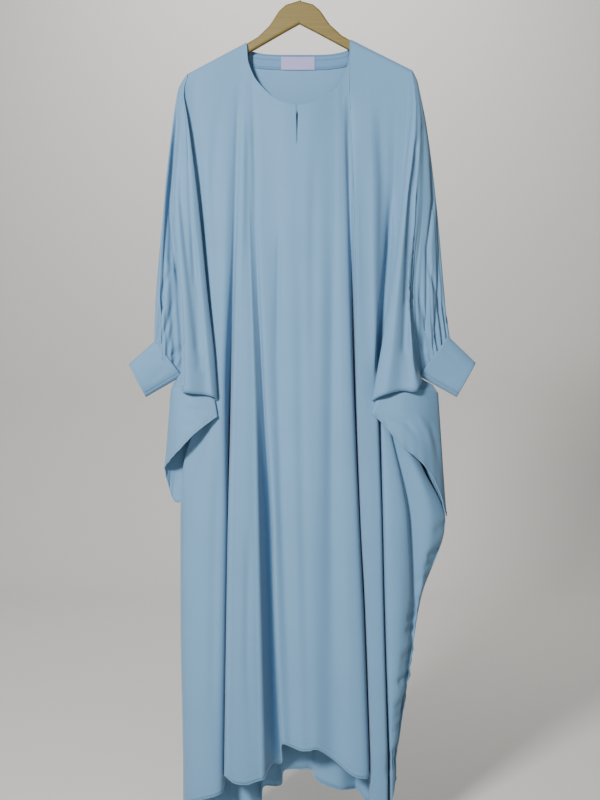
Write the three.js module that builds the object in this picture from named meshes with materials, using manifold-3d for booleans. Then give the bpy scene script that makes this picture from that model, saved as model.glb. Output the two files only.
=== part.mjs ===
// A butterfly abaya in crepe on a flat wooden hanger, in millimetres.
// +Z is up, the front faces -Y, and the origin is the inner top of the hanger's hook.
// Places are given as x (or across, out from the middle), out (away from the middle plane)
// and down (below the origin).
import * as THREE from 'three';
import { mergeVertices } from 'three/addons/utils/BufferGeometryUtils.js';
import Module from 'manifold-3d';

const wasm = await Module();
wasm.setup();

// Driving sizes
const CREPE = 1.5;
const CUFF_CLOTH = 2.2;
const FACING_CLOTH = 1.0;
const LABEL_CLOTH = 0.8;
const SEAM_GAP = 0.5;
const HEAD_GAP = 0.8;
const TUCK_GAP = 1.4;
const CUFF_GAP = 2;
const LAY_GAP = 0.3;
const MEETING = 0.05;

const NECK_ACROSS = 103;
const NECK_DOWN = 142;
const NECK_CENTRE = -3;
const FRONT_NECK_DROP = 121;
const BACK_NECK_DROP = 17;
const SHOULDER_SLOPE = 0.515;
const LEAN = 0.016;
const ARM_ROLL = 11;
const SLEEVE_HEAD = 212;
const NECK_HALF = 100;
const NECK_EDGE_STEPS = [0, 4, 9, 15];
const ARM_STRIP = 0.024;
const ARM_STRIP_TURNS = [0.45, 0.97];

const FACING_ACROSS = 90;
const FACING_ROWS = [0, 4];
const LABEL_SPAN = [-37, 29];
const LABEL_ROWS = [1, 4];

const UPPER_END = 815;
const SIDE_START = 825;
const FREE_SIDE_END = 1000;
const UPPER_ROWS = 11;
const LOWER_ROWS = 12;
const ROW_CROWDING = 1.6;
const SPLITS = 2;
const GUIDE = 12;
const EDGE_GUIDE = { below: 230, inward: 2, back: 5, round: 9 };
const SLEEVE_GUIDES = { front: [10, 2], back: [15, 3] };
const WING_GUIDE = [12, 2];

const SLIT = { x: -5.5, top: 258, bottom: 341, width: 4, reach: 70 };
const LIP_ROLL = 8;
const LIP_TURN = 150;
const PLAIN_END = 10;

// The hanger: arches are given as across and below the apex, arms by where they meet the arches
const WOOD = {
  thickness: 12,
  edge: 3.5,
  below: 2.8,
  apex: 63,
  topArch: [[26, 7.6], [39, 19], [57, 46], [79, 67], [96, 77]],
  armStart: 112,
  armDepth: 19,
  underStart: 105,
  underArch: [30, 60],
  underApex: 44,
  tip: 212,
  tipCut: 8,
  tipDrop: 3,
  tipDepth: 12,
  tipFoot: 14,
};
const WIRE = {
  radius: 2,
  hookRadius: 22,
  hookTurn: [-50, 190],
  hookStep: 20,
  stemTop: 52,
  stemFoot: 84,
  hole: 2.4,
  holeFloor: 84.3,
  holeReach: 40,
  holeSides: 16,
  sides: 8,
  steps: 34,
};

const COLOURS = { crepe: 0x9bb2c2, facing: 0x93abbc, label: 0xe9eaee, wood: 0xcfae80, steel: 0xb9bbbd };

// Heights below the origin at which the folds of both panels are measured
const LEVELS = [250, 450, 800, 1050, 1200, 1500];

const FRONT_FOLDS = [
  { fold: 'left tuck', x: [-203, -190, -176, -216, -217, -213], out: [11, 13, 15, 20, 22, 24], hem: 1580 },
  { fold: 'left column', x: [-186, -170, -152, -184, -186, -184], out: [14, 24, 27, 36, 38, 42], hem: 1576 },
  { fold: 'left valley', x: [-117, -122, -134, -138, -139, -144], out: [13, 18, 16, 14, 13, 13], hem: 1550 },
  { fold: 'second column, left', x: [-110, -112, -119, -120, -120, -124], out: [14, 24, 33, 41, 43, 47], hem: 1546 },
  { fold: 'second column, right', x: [-99, -95, -84, -74, -70, -62], out: [15, 26, 36, 44, 46, 50], hem: 1536 },
  { fold: 'wide valley', x: [-92, -86, -69, -53, -49, -36], out: [14, 20, 26, 24, 22, 20], hem: 1496 },
  { fold: 'narrow column', x: [-75, -68, -55, -44, -38, -25], out: [17, 25, 35, 41, 43, 46], hem: 1478 },
  { fold: 'soft valley', x: [-52, -49, -41, -33, -27, -14], out: [20, 25, 34, 40, 42, 46], hem: 1483 },
  { fold: 'centre, left', x: [-25, -24, -16, -8, -4, 4], out: [24, 30, 38, 44, 47, 52], hem: 1488 },
  { fold: 'centre, right', x: [20, 20, 22, 24, 26, 31], out: [25, 31, 39, 45, 48, 53], hem: 1484 },
  { fold: 'right soft valley', x: [64, 63, 59, 58, 57, 61], out: [18, 26, 34, 39, 41, 42], hem: 1503 },
  { fold: 'right column', x: [75, 79, 83, 88, 92, 97], out: [17, 27, 38, 45, 48, 52], hem: 1534 },
  { fold: 'right valley', x: [87, 95, 105, 114, 122, 133], out: [14, 19, 22, 22, 20, 18], hem: 1541 },
  { fold: 'fourth column, left', x: [98, 107, 118, 130, 136, 146], out: [15, 25, 32, 40, 42, 46], hem: 1592 },
  { fold: 'fourth column, right', x: [130, 140, 139, 147, 150, 158], out: [14, 25, 30, 38, 40, 44], hem: 1594 },
  { fold: 'wing valley', x: [180, 173, 154, 158, 160, 167], out: [12, 12, 14, 18, 18, 18], hem: 1585 },
  { fold: 'fifth column', x: [194, 183, 159, 182, 186, 173], out: [12, 12.5, 17, 36, 38, 32], hem: 1560 },
  { fold: 'side valley', x: [202, 188, 162, 211, 212, 177], out: [12, 13, 19, 16, 16, 18], hem: 1540 },
  { fold: 'right tuck', x: [206, 192, 166, 250, 221, 180], out: [12.5, 14, 21, 22, 16, 12], hem: 1536 },
];

const BACK_FOLDS = [
  { fold: 'left column', x: [-185, -182, -178, -205, -206, -202], out: [15, 24, 30, 24, 24, 26], hem: 1590 },
  { fold: 'left valley', x: [-150, -152, -155, -165, -166, -170], out: [13, 18, 18, 16, 15, 14], hem: 1596 },
  { fold: 'second column', x: [-118, -120, -124, -130, -132, -136], out: [14, 24, 30, 34, 36, 40], hem: 1602 },
  { fold: 'second valley', x: [-84, -86, -90, -94, -96, -98], out: [12, 16, 16, 15, 14, 14], hem: 1602 },
  { fold: 'centre, left', x: [-36, -36, -36, -38, -39, -40], out: [12, 20, 27, 30, 32, 34], hem: 1556 },
  { fold: 'centre, right', x: [28, 28, 30, 32, 33, 34], out: [12, 20, 27, 30, 32, 34], hem: 1524 },
  { fold: 'third valley', x: [62, 64, 70, 74, 76, 78], out: [12, 16, 16, 14, 14, 14], hem: 1545 },
  { fold: 'fourth column', x: [92, 96, 104, 110, 114, 108], out: [13, 22, 28, 32, 34, 34], hem: 1556 },
  { fold: 'fourth valley', x: [122, 128, 138, 146, 150, 132], out: [12, 16, 17, 15, 14, 14], hem: 1590 },
  { fold: 'fifth column', x: [155, 158, 164, 178, 180, 152], out: [14, 23, 29, 32, 30, 26], hem: 1600 },
  { fold: 'fifth valley', x: [178, 178, 178, 215, 203, 168], out: [13, 18, 22, 16, 14, 14], hem: 1575 },
  { fold: 'right column', x: [192, 190, 184, 250, 219, 177], out: [14, 21, 25, 18, 12, 10], hem: 1545 },
];

// The panels' side edges, shared with the sleeves down to the side seam, then with each other
const EDGE_LEVELS = [216, 232, 300, 450, 625, 740, 825, 950, 1050, 1200, 1500];
const EDGES = {
  leftFront: {
    across: [213, 217, 222, 207, 196, 192, 190, 221, 227, 227, 222],
    out: [11.2, 13, 17, 20, 21, 22, 22, 7, 0, 0, 0], hem: 1580,
  },
  rightFront: {
    across: [213.5, 215, 219, 203, 189, 179, 174, 232, 276, 229, 182],
    out: [11.2, 12, 15, 15, 17, 20, 22, 10, 0, 0, 0], hem: 1535,
  },
  leftBack: {
    across: [213, 216, 209, 202, 196, 193, 192, 215, 227, 227, 222],
    out: [11.2, 12.5, 17, 22, 25, 26, 26, 12, 0, 0, 0], hem: 1580,
  },
  rightBack: {
    across: [213, 214, 209, 202, 196, 193, 192, 240, 276, 229, 182],
    out: [11.2, 12.5, 17, 22, 25, 26, 26, 12, 0, 0, 0], hem: 1535,
  },
};

// Folds of each sleeve from its front tuck round the outer fold to the back
const SLEEVE_LEVELS = [216, 232, 300, 450, 625, 740, 825];
const LEFT_SLEEVE = [
  { fold: 'tuck', end: 825, curl: 0,
    across: [214.2, 218, 224, 209, 198, 194, 192], out: [12, 15, 21, 24, 25, 26, 26] },
  { fold: 'turn', end: 823, curl: 0,
    across: [214.8, 218.6, 221, 201, 184, 176, 172], out: [12, 16, 24, 28, 29, 30, 31] },
  { fold: 'flap edge', end: 820, curl: 0.2,
    across: [215.6, 220, 210, 191, 173, 160, 154], out: [11.8, 15.5, 27, 33, 37, 39, 40] },
  { fold: 'edge column', end: 812, curl: 0.5,
    across: [217, 222.4, 215, 202, 181, 170, 162], out: [11, 14, 29, 42, 48, 52, 54] },
  { fold: 'flap valley', end: 806, curl: 0.8,
    across: [218, 224, 220, 212, 190, 178, 174], out: [9.5, 11.5, 24, 36, 42, 46, 48] },
  { fold: 'flap column', end: 800, curl: 1,
    across: [219.5, 226, 226, 226, 215, 209, 207], out: [8.5, 10, 22, 38, 50, 56, 58] },
  { fold: 'step', end: 798, curl: 0.8,
    across: [221, 228, 231, 239, 224, 219, 222], out: [7, 8, 17, 30, 44, 48, 46] },
  { fold: 'lower gathers', end: 776, curl: 0,
    across: [222, 229, 234, 243, 228, 222, 236], out: [5.5, 6, 13, 22, 30, 14, -8] },
  { fold: 'upper gathers', end: 744, curl: 0,
    across: [223, 230, 237, 249, 252, 253, 256], out: [3, 3.5, 8, 14, 22, 13.5, 8] },
  { fold: 'outer fold', end: 711, curl: 0,
    across: [223.5, 230.5, 239.5, 254, 273, 279, 284], out: [0, 0, 0, 0, 0, 0, 0] },
  { fold: 'back upper', end: 744, curl: 0,
    across: [223, 230, 237, 249, 252, 253, 256], out: [-3, -3.5, -9, -16, -22, -13.5, -8] },
  { fold: 'back lower', end: 776, curl: 0,
    across: [221, 228, 229, 238, 232, 222, 236], out: [-6, -8, -16, -25, -30, -14, 8] },
  { fold: 'back column', end: 806, curl: 0,
    across: [218, 224, 221, 222, 214, 213, 212], out: [-9, -11, -20, -30, -36, -38, -38] },
];
const RIGHT_SLEEVE = [
  { fold: 'tuck', end: 825, curl: 0,
    across: [214.2, 216, 221, 205, 191, 181, 176], out: [12, 14, 18.5, 19.5, 21, 24, 26] },
  { fold: 'turn', end: 823, curl: 0,
    across: [214.2, 216.6, 216, 195, 175, 160, 150], out: [11.4, 13.6, 20, 22, 26, 29, 31] },
  { fold: 'flap edge', end: 822, curl: 0.2,
    across: [214.5, 217, 210, 191, 169, 149, 134], out: [11, 12.5, 21, 29, 34, 38, 40] },
  { fold: 'edge column', end: 808, curl: 0.6,
    across: [216, 218.5, 216, 199, 180, 168, 154], out: [10.5, 12, 25, 40, 48, 54, 56] },
  { fold: 'flap valley', end: 797, curl: 0.9,
    across: [217.5, 220, 221, 208, 197, 192, 188], out: [9.5, 11, 22, 33, 40, 46, 50] },
  { fold: 'flap column', end: 797, curl: 1,
    across: [219, 222, 226, 215, 203, 208, 220], out: [8.5, 9.5, 20, 35, 43, 50, 54] },
  { fold: 'step', end: 784, curl: 0.5,
    across: [220.5, 224, 230, 222, 206, 212, 250], out: [7, 7.5, 15, 28, 38, 38, 30] },
  { fold: 'lower gathers', end: 775, curl: 0,
    across: [221.5, 225, 233, 229, 214, 222, 246], out: [5, 6, 12, 22, 29, 14, -8] },
  { fold: 'upper gathers', end: 740, curl: 0,
    across: [222.5, 226, 237, 247, 249, 258, 266], out: [3, 3.5, 8, 15, 21, 13, 8] },
  { fold: 'outer fold', end: 703, curl: 0,
    across: [223, 226.5, 240, 259, 275, 288, 296], out: [0, 0, 0, 0, 0, 0, 0] },
  { fold: 'back upper', end: 740, curl: 0,
    across: [222.5, 226, 237, 247, 249, 258, 266], out: [-3, -3.5, -9, -16, -22, -13, -8] },
  { fold: 'back lower', end: 775, curl: 0,
    across: [220.5, 224, 229, 238, 232, 222, 246], out: [-6, -8, -16, -25, -30, -14, 8] },
  { fold: 'back column', end: 806, curl: 0,
    across: [217, 220, 221, 222, 214, 213, 212], out: [-9, -11, -20, -30, -36, -38, -38] },
];

// The hanging corner of each wing: every fold from its top, under the sleeve, to its lower edge
const LEFT_WING = [
  { fold: 'inner end', across: [158, 154], out: [34, 36], down: [829, 850] },
  { fold: 'front, inner', across: [174, 167], out: [36, 42], down: [818, 860] },
  { fold: 'front, middle', across: [200, 197], out: [37, 46], down: [811, 884] },
  { fold: 'front, outer', across: [226, 226], out: [29, 40], down: [804, 914] },
  { fold: 'side column', across: [240, 246], out: [16, 22], down: [796, 935] },
  { fold: 'side', across: [245, 256], out: [2, 4], down: [797, 950] },
  { fold: 'back, outer', across: [240, 250], out: [-14, -8], down: [802, 984] },
  { fold: 'back, inner', across: [222, 238], out: [-28, -8], down: [822, 1014] },
];
const RIGHT_WING = [
  { fold: 'inner end', across: [140, 134], out: [35, 37], down: [831, 844] },
  { fold: 'front, inner', across: [160, 157], out: [37, 42], down: [820, 867] },
  { fold: 'front, middle', across: [190, 190], out: [38, 48], down: [811, 906] },
  { fold: 'front, outer', across: [217, 222], out: [32, 46], down: [802, 932] },
  { fold: 'side column', across: [242, 256], out: [22, 30], down: [796, 978] },
  { fold: 'side', across: [262, 277], out: [2, 5], down: [803, 1040] },
  { fold: 'back, outer', across: [256, 278], out: [-14, 0], down: [806, 1036] },
  { fold: 'back, inner', across: [224, 275], out: [-28, -4], down: [822, 1026] },
];

// Corners of each cuff seen from the front: its seam's two ends, then its open end's two
const CUFF_HALF_THICK = 13;
const CUFF_LAP = 30;
const CUFF_LAYERS = 1.5;
const CUFF_FLATNESS = 0.8;
const CUFF_COLUMNS = 30;
const CUFF_ROWS = 3;
const LEFT_CUFF = {
  seamTop: [-277, 711], seamFoot: [-229.5, 776], openTop: [-324, 753], openFoot: [-293.5, 813],
};
const RIGHT_CUFF = {
  seamTop: [284, 703], seamFoot: [232, 776], openTop: [333, 750.5], openFoot: [298, 813],
};

const mix = (a, b, t) => a + (b - a) * t;

function smooth(t) {
  const s = Math.min(Math.max(t, 0), 1);
  return s * s * (3 - 2 * s);
}

// A smooth curve through values measured at rising levels, held level past both ends
function along(levels, values, at) {
  const last = levels.length - 1;
  if (at <= levels[0]) return values[0];
  if (at >= levels[last]) return values[last];
  let i = 0;
  while (at > levels[i + 1]) i += 1;
  const slope = (k) => (values[k + 1] - values[k]) / (levels[k + 1] - levels[k]);
  const shared = (a, b) => (a * b <= 0 ? 0 : (2 * a * b) / (a + b));
  const span = levels[i + 1] - levels[i];
  const leaving = (i === 0 ? slope(0) : shared(slope(i - 1), slope(i))) * span;
  const arriving = (i + 1 === last ? slope(i) : shared(slope(i), slope(i + 1))) * span;
  const t = (at - levels[i]) / span;
  const rise = t * t * (3 - 2 * t);
  return mix(values[i], values[i + 1], rise)
    + leaving * t * (1 - t) * (1 - t)
    - arriving * t * t * (1 - t);
}

const place = (x, out, down) => new THREE.Vector3(x, -out, -down);

// One row of cloth: a smooth curve across its folds, with a guide point past each end
function acrossFolds(points, before, after, splits = () => SPLITS) {
  const curve = new THREE.CatmullRomCurve3([before, ...points, after], false, 'centripetal');
  const spans = points.length + 1;
  const row = [points[0].clone()];
  for (let i = 0; i < points.length - 1; i += 1) {
    for (let k = 1; k <= splits(i); k += 1) row.push(curve.getPoint((1 + i + k / splits(i)) / spans));
  }
  return row;
}

// Narrow strips beside the neck point, where the neck edge climbs over the hanger's arm
function withNeckPoints(folds, side) {
  return folds.flatMap((fold, i) => {
    const next = folds[i + 1];
    if (!next) return [fold];
    const leaves = neckDown(fold.x[0], side) === null;
    const arrives = neckDown(next.x[0], side) === null;
    if (leaves === arrives) return [fold];
    const turns = leaves ? ARM_STRIP_TURNS : ARM_STRIP_TURNS.slice().reverse();
    const strips = turns.map((turn) => {
      const rim = NECK_CENTRE + Math.sign(fold.x[0]) * (NECK_HALF - turn * NECK_HALF * ARM_STRIP);
      const share = (rim - fold.x[0]) / (next.x[0] - fold.x[0]);
      const values = (name) => fold[name].map((value, k) => mix(value, next[name][k], share));
      const hem = mix(fold.hem, next.hem, share);
      return { fold: 'neck point', x: values('x'), out: values('out'), hem, plain: true };
    });
    return [fold, ...strips];
  });
}

// Direction of a grid of points along one of its two ways, also true at its ends
function direction(pick, i, last) {
  if (i > 0 && i < last) return pick(i + 1).clone().sub(pick(i - 1));
  const step = i === 0 ? 1 : -1;
  const way = pick(i + step).clone().multiplyScalar(4);
  way.addScaledVector(pick(i), -3).addScaledVector(pick(i + 2 * step), -1);
  return way.multiplyScalar(step);
}

function gridNormals(grid) {
  const rows = grid.length - 1;
  const columns = grid[0].length - 1;
  return grid.map((row, j) => row.map((point, i) => {
    const sideways = direction((k) => grid[j][k], i, columns);
    const downward = direction((k) => grid[k][i], j, rows);
    return sideways.cross(downward).normalize();
  }));
}

// The same grid moved off its face, for what lies on a panel
function movedOut(grid, distance, normals = gridNormals(grid)) {
  return grid.map((row, j) => row.map((point, i) => (
    point.clone().addScaledVector(normals[j][i], distance))));
}

// The rows or columns along one edge of a grid
function edgeOf(grid, edge) {
  if (edge === 'top') return grid[0];
  if (edge === 'foot') return grid[grid.length - 1];
  return grid.map((row) => (edge === 'start' ? row[0] : row[row.length - 1]));
}

// Where two pieces meet point to point, both end square to the same direction
function matchSeam(one, oneEdge, other, otherEdge) {
  const otherPoints = edgeOf(other.grid, otherEdge);
  const otherNormals = edgeOf(other.normals, otherEdge);
  const oneNormals = edgeOf(one.normals, oneEdge);
  edgeOf(one.grid, oneEdge).forEach((point, i) => {
    const k = otherPoints.findIndex((near) => near.distanceTo(point) < MEETING);
    if (k < 0) return;
    const sign = Math.sign(oneNormals[i].dot(otherNormals[k])) || 1;
    oneNormals[i].addScaledVector(otherNormals[k], sign).normalize();
    otherNormals[k].copy(oneNormals[i]).multiplyScalar(sign);
  });
}

// Half of the seam's gap taken off the named edges
function trimmed(grid, edges, gap = SEAM_GAP) {
  const rows = grid.length - 1;
  const columns = grid[0].length - 1;
  const out = grid.map((row) => row.map((point) => point.clone()));
  const pull = (point, inner) => point.add(inner.clone().sub(point).setLength(gap / 2));
  for (let j = 0; j <= rows; j += 1) {
    if (edges.includes('start')) pull(out[j][0], grid[j][1]);
    if (edges.includes('finish')) pull(out[j][columns], grid[j][columns - 1]);
  }
  for (let i = 0; i <= columns; i += 1) {
    if (edges.includes('top')) pull(out[0][i], grid[1][i]);
    if (edges.includes('foot')) pull(out[rows][i], grid[rows - 1][i]);
  }
  return out;
}

// A closed wall of even thickness on a grid of points through its middle
function clothWall(grid, thickness, normals = gridNormals(grid)) {
  const rows = grid.length - 1;
  const columns = grid[0].length - 1;
  const faces = [movedOut(grid, thickness / 2, normals), movedOut(grid, -thickness / 2, normals)];
  const positions = faces.flat(2).flatMap((point) => point.toArray());
  const at = (face, j, i) => (face * (rows + 1) + j) * (columns + 1) + i;
  const index = [];
  const quad = (a, b, c, d) => index.push(a, b, c, a, c, d);
  for (let j = 0; j < rows; j += 1) {
    for (let i = 0; i < columns; i += 1) {
      quad(at(0, j, i), at(0, j, i + 1), at(0, j + 1, i + 1), at(0, j + 1, i));
      quad(at(1, j, i), at(1, j + 1, i), at(1, j + 1, i + 1), at(1, j, i + 1));
    }
    quad(at(0, j, 0), at(0, j + 1, 0), at(1, j + 1, 0), at(1, j, 0));
    quad(at(0, j, columns), at(1, j, columns), at(1, j + 1, columns), at(0, j + 1, columns));
  }
  for (let i = 0; i < columns; i += 1) {
    quad(at(0, 0, i), at(1, 0, i), at(1, 0, i + 1), at(0, 0, i + 1));
    quad(at(0, rows, i), at(0, rows, i + 1), at(1, rows, i + 1), at(1, rows, i));
  }
  return facingOut(positions, index);
}

// Turns a closed mesh the right way round
function facingOut(positions, index) {
  const corner = (k) => new THREE.Vector3().fromArray(positions, 3 * k);
  let volume = 0;
  for (let t = 0; t < index.length; t += 3) {
    volume += corner(index[t]).dot(corner(index[t + 1]).cross(corner(index[t + 2])));
  }
  const order = volume < 0 ? index.slice().reverse() : index;
  const geometry = new THREE.BufferGeometry();
  geometry.setAttribute('position', new THREE.Float32BufferAttribute(positions, 3));
  geometry.setIndex(order);
  return geometry;
}

// Shoulder and neck lines

const shoulderDown = (x) => NECK_DOWN + SHOULDER_SLOPE * (Math.abs(x) - NECK_ACROSS) - LEAN * x;

function neckDown(x, side) {
  const part = Math.abs(x - NECK_CENTRE) / NECK_HALF;
  if (part >= 1) return null;
  const rim = NECK_DOWN + 3;
  if (side === 'front') return rim + FRONT_NECK_DROP * Math.sqrt(1 - part * part);
  return rim + BACK_NECK_DROP * Math.sqrt(1 - part ** 4);
}

// How far a point of the neck edge has climbed over the hanger's arm, from 0 at its top to 1
function armTurn(x) {
  const inside = 1 - Math.abs(x - NECK_CENTRE) / NECK_HALF;
  return Math.min(Math.max(inside / ARM_STRIP, 0), 1);
}

// A point where the cloth rolls over the hanger's arm, by its angle from the top
function onArm(x, degrees) {
  const angle = THREE.MathUtils.degToRad(degrees);
  const down = shoulderDown(x) + ARM_ROLL * (1 - Math.cos(angle));
  return place(x, ARM_ROLL * Math.sin(angle), down);
}

// Rows of a panel from its top edge to its hem
const upperShare = (k) => (k / UPPER_ROWS) ** ROW_CROWDING;
const PANEL_ROWS = [
  ...NECK_EDGE_STEPS.map((step, k) => ({ zone: 'top', step, share: k / (NECK_EDGE_STEPS.length - 1) })),
  ...Array.from({ length: UPPER_ROWS }, (_, k) => ({ zone: 'upper', share: upperShare(k + 1) })),
  ...Array.from({ length: LOWER_ROWS + 1 }, (_, k) => ({ zone: 'lower', share: k / LOWER_ROWS })),
];

function rowDown(row, start, hem) {
  if (row.zone === 'upper') return mix(start, UPPER_END, row.share);
  return mix(SIDE_START, hem, row.share);
}

function foldPoint(fold, row, side) {
  const facing = side === 'front' ? 1 : -1;
  const topX = fold.x[0];
  const turn = armTurn(topX);
  const neck = turn < 1 ? null : neckDown(topX, side);
  const armFoot = shoulderDown(topX) + ARM_ROLL;
  if (row.zone === 'top' && neck === null) return onArm(topX, facing * 90 * mix(turn, 1, row.share));
  const start = neck === null ? armFoot : neck + NECK_EDGE_STEPS[NECK_EDGE_STEPS.length - 1];
  const down = row.zone === 'top' ? neck + row.step : rowDown(row, start, fold.hem);
  const settled = smooth((down - armFoot) / (LEVELS[0] - armFoot));
  const out = mix(ARM_ROLL, along(LEVELS, fold.out, down), settled);
  return place(along(LEVELS, fold.x, down), facing * out, down);
}

// An edge of a panel at a height below the hanger's arm
function edgeAt(name, down) {
  const edge = EDGES[name];
  const left = name.startsWith('left');
  const side = left ? -1 : 1;
  const facing = name.endsWith('Front') ? 1 : -1;
  const levels = [shoulderDown(side * SLEEVE_HEAD) + ARM_ROLL, ...EDGE_LEVELS];
  const across = along(levels, [SLEEVE_HEAD, ...edge.across], down);
  const out = along(levels, [ARM_ROLL, ...edge.out], down);
  return place(side * across, facing * out, down);
}

function edgePoint(name, row) {
  const side = name.startsWith('left') ? -1 : 1;
  const facing = name.endsWith('Front') ? 1 : -1;
  if (row.zone === 'top') return onArm(side * SLEEVE_HEAD, facing * 90 * row.share);
  const start = shoulderDown(side * SLEEVE_HEAD) + ARM_ROLL;
  return edgeAt(name, rowDown(row, start, EDGES[name].hem));
}

// Guide points that carry a panel's curve round its edge into the next piece
function tuckGuides(name, point, zone = 'lower') {
  const side = name.startsWith('left') ? -1 : 1;
  const facing = name.endsWith('Front') ? 1 : -1;
  const free = smooth((-point.z - SIDE_START) / (FREE_SIDE_END - SIDE_START));
  const tucked = facing > 0 && -point.z > EDGE_GUIDE.below;
  const drop = zone === 'top' ? -GUIDE * SHOULDER_SLOPE : 0;
  const inward = tucked
    ? new THREE.Vector3(side * EDGE_GUIDE.inward, -EDGE_GUIDE.back, 0)
    : new THREE.Vector3(side * GUIDE, 0, drop);
  const round = new THREE.Vector3(0, facing * EDGE_GUIDE.round, 0);
  return point.clone().add(inward.lerp(round, free));
}

function panelGrid(folds, side) {
  const names = side === 'front' ? ['leftFront', 'rightFront'] : ['leftBack', 'rightBack'];
  const strips = withNeckPoints(folds, side);
  const splits = (i) => (strips[i - 1]?.plain || strips[i]?.plain ? 1 : SPLITS);
  return PANEL_ROWS.map((row) => {
    const [left, right] = names.map((name) => edgePoint(name, row));
    const points = [left, ...strips.map((fold) => foldPoint(fold, row, side)), right];
    const [before, after] = [tuckGuides(names[0], left, row.zone), tuckGuides(names[1], right, row.zone)];
    const onSide = side === 'front' ? (y) => Math.min(y, 0) : (y) => Math.max(y, 0);
    return acrossFolds(points, before, after, splits).map((point) => point.setY(onSide(point.y)));
  });
}

// Sleeves: the folds run from the roll over the hanger's arm to the lip and the cuff

const SLEEVE_ROWS = [
  ...Array.from({ length: UPPER_ROWS + 1 }, (_, k) => ({ share: upperShare(k), turn: 0 })),
  { share: 1, turn: 0.5 },
  { share: 1, turn: 1 },
];

function sleeveFoldPoint(fold, angle, row, side) {
  const head = onArm(side * (SLEEVE_HEAD + HEAD_GAP), angle);
  if (row.share === 0) return head;
  const reach = fold.end - PLAIN_END * (1 - fold.curl);
  const down = mix(-head.z, reach, row.share) + PLAIN_END * (1 - fold.curl) * row.turn;
  const levels = [-head.z, ...SLEEVE_LEVELS.map((level) => Math.max(level, 2 - head.z))];
  const across = along(levels, [SLEEVE_HEAD + HEAD_GAP, ...fold.across], down);
  const out = along(levels, [-head.y, ...fold.out], down);
  const roll = THREE.MathUtils.degToRad(LIP_TURN * row.turn);
  const tucked = fold.curl * LIP_ROLL * (1 - Math.cos(roll));
  const dropped = fold.curl * LIP_ROLL * Math.sin(roll);
  return place(side * across, out - tucked, down + dropped);
}

function sleeveEdgePoint(name, row) {
  const side = name.startsWith('left') ? -1 : 1;
  const facing = name.endsWith('Front') ? 1 : -1;
  if (row.share === 0) return onArm(side * (SLEEVE_HEAD + HEAD_GAP), facing * 90);
  const start = shoulderDown(side * SLEEVE_HEAD) + ARM_ROLL;
  return edgeAt(name, mix(start, UPPER_END, row.share) + (SIDE_START - UPPER_END) * row.turn);
}

function sleeveGrid(folds, hand) {
  const side = hand === 'left' ? -1 : 1;
  const outerFold = folds.findIndex((fold) => fold.fold === 'outer fold');
  const angleOf = (i) => (i <= outerFold
    ? 90 * (1 - (i + 1) / (outerFold + 1))
    : -90 * ((i - outerFold) / (folds.length - outerFold)));
  return SLEEVE_ROWS.map((row) => {
    const points = folds.map((fold, i) => sleeveFoldPoint(fold, angleOf(i), row, side));
    points.unshift(sleeveEdgePoint(`${hand}Front`, row));
    points.push(sleeveEdgePoint(`${hand}Back`, row));
    const [before, after] = [SLEEVE_GUIDES.front, SLEEVE_GUIDES.back].map(([inward, back]) => (
      new THREE.Vector3(-side * inward, back, 0)));
    return acrossFolds(points, before.add(points[0]), after.add(points[points.length - 1]));
  });
}

// Wings: from under the sleeve round the side to the back panel's edge

const WING_ROWS = 3;

function wingGrid(folds, hand) {
  const side = hand === 'left' ? -1 : 1;
  const edge = `${hand}Back`;
  const grid = [];
  for (let j = 0; j <= WING_ROWS; j += 1) {
    const t = j / WING_ROWS;
    const points = folds.map((fold) => {
      const at = ([top, foot]) => mix(top, foot, t);
      return place(side * at(fold.across), at(fold.out), at(fold.down));
    });
    const seam = edgeAt(edge, rowDown({ zone: 'lower', share: j / LOWER_ROWS }, 0, EDGES[edge].hem));
    points.push(seam);
    const before = points[0].clone().add(new THREE.Vector3(-side * WING_GUIDE[0], WING_GUIDE[1], 0));
    const after = seam.clone().multiplyScalar(2).sub(tuckGuides(edge, seam));
    grid.push(acrossFolds(points, before, after));
  }
  return grid;
}

// Cuffs: a flattened band wound past its own start at the lower edge

function cuffGrid(corners) {
  const at = ([x, down]) => place(x, 0, down);
  const seam = { top: at(corners.seamTop), foot: at(corners.seamFoot) };
  const open = { top: at(corners.openTop), foot: at(corners.openFoot) };
  const forward = new THREE.Vector3(0, -1, 0);
  const grid = [];
  for (let j = 0; j <= CUFF_ROWS; j += 1) {
    const t = j / CUFF_ROWS;
    const top = seam.top.clone().lerp(open.top, t);
    const foot = seam.foot.clone().lerp(open.foot, t);
    const centre = top.clone().lerp(foot, 0.5);
    const half = foot.clone().sub(centre);
    const row = [];
    for (let i = 0; i <= CUFF_COLUMNS; i += 1) {
      const turn = i / CUFF_COLUMNS;
      const angle = THREE.MathUtils.degToRad(mix(-CUFF_LAP, 360 + CUFF_LAP / 2, turn));
      const layer = mix(-CUFF_LAYERS, CUFF_LAYERS, turn);
      const flat = (value) => Math.sign(value) * Math.abs(value) ** CUFF_FLATNESS;
      const point = centre.clone();
      point.addScaledVector(half, flat(Math.cos(angle)) * (1 + layer / half.length()));
      point.addScaledVector(forward, flat(Math.sin(angle)) * (CUFF_HALF_THICK + layer));
      row.push(point);
    }
    grid.push(row);
  }
  return grid;
}

// The part of a panel's own grid between two rows and two columns, moved off its face
function patch(piece, [top, foot], [start, finish], distance) {
  const moved = movedOut(piece.grid, distance, piece.normals);
  return moved.slice(top, foot + 1).map((row) => row.slice(start, finish + 1));
}

function columnsBetween(grid, left, right) {
  const inside = grid[0].flatMap((point, i) => (point.x > left && point.x < right ? [i] : []));
  return [inside[0], inside[inside.length - 1]];
}

// Solids cut by others

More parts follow.
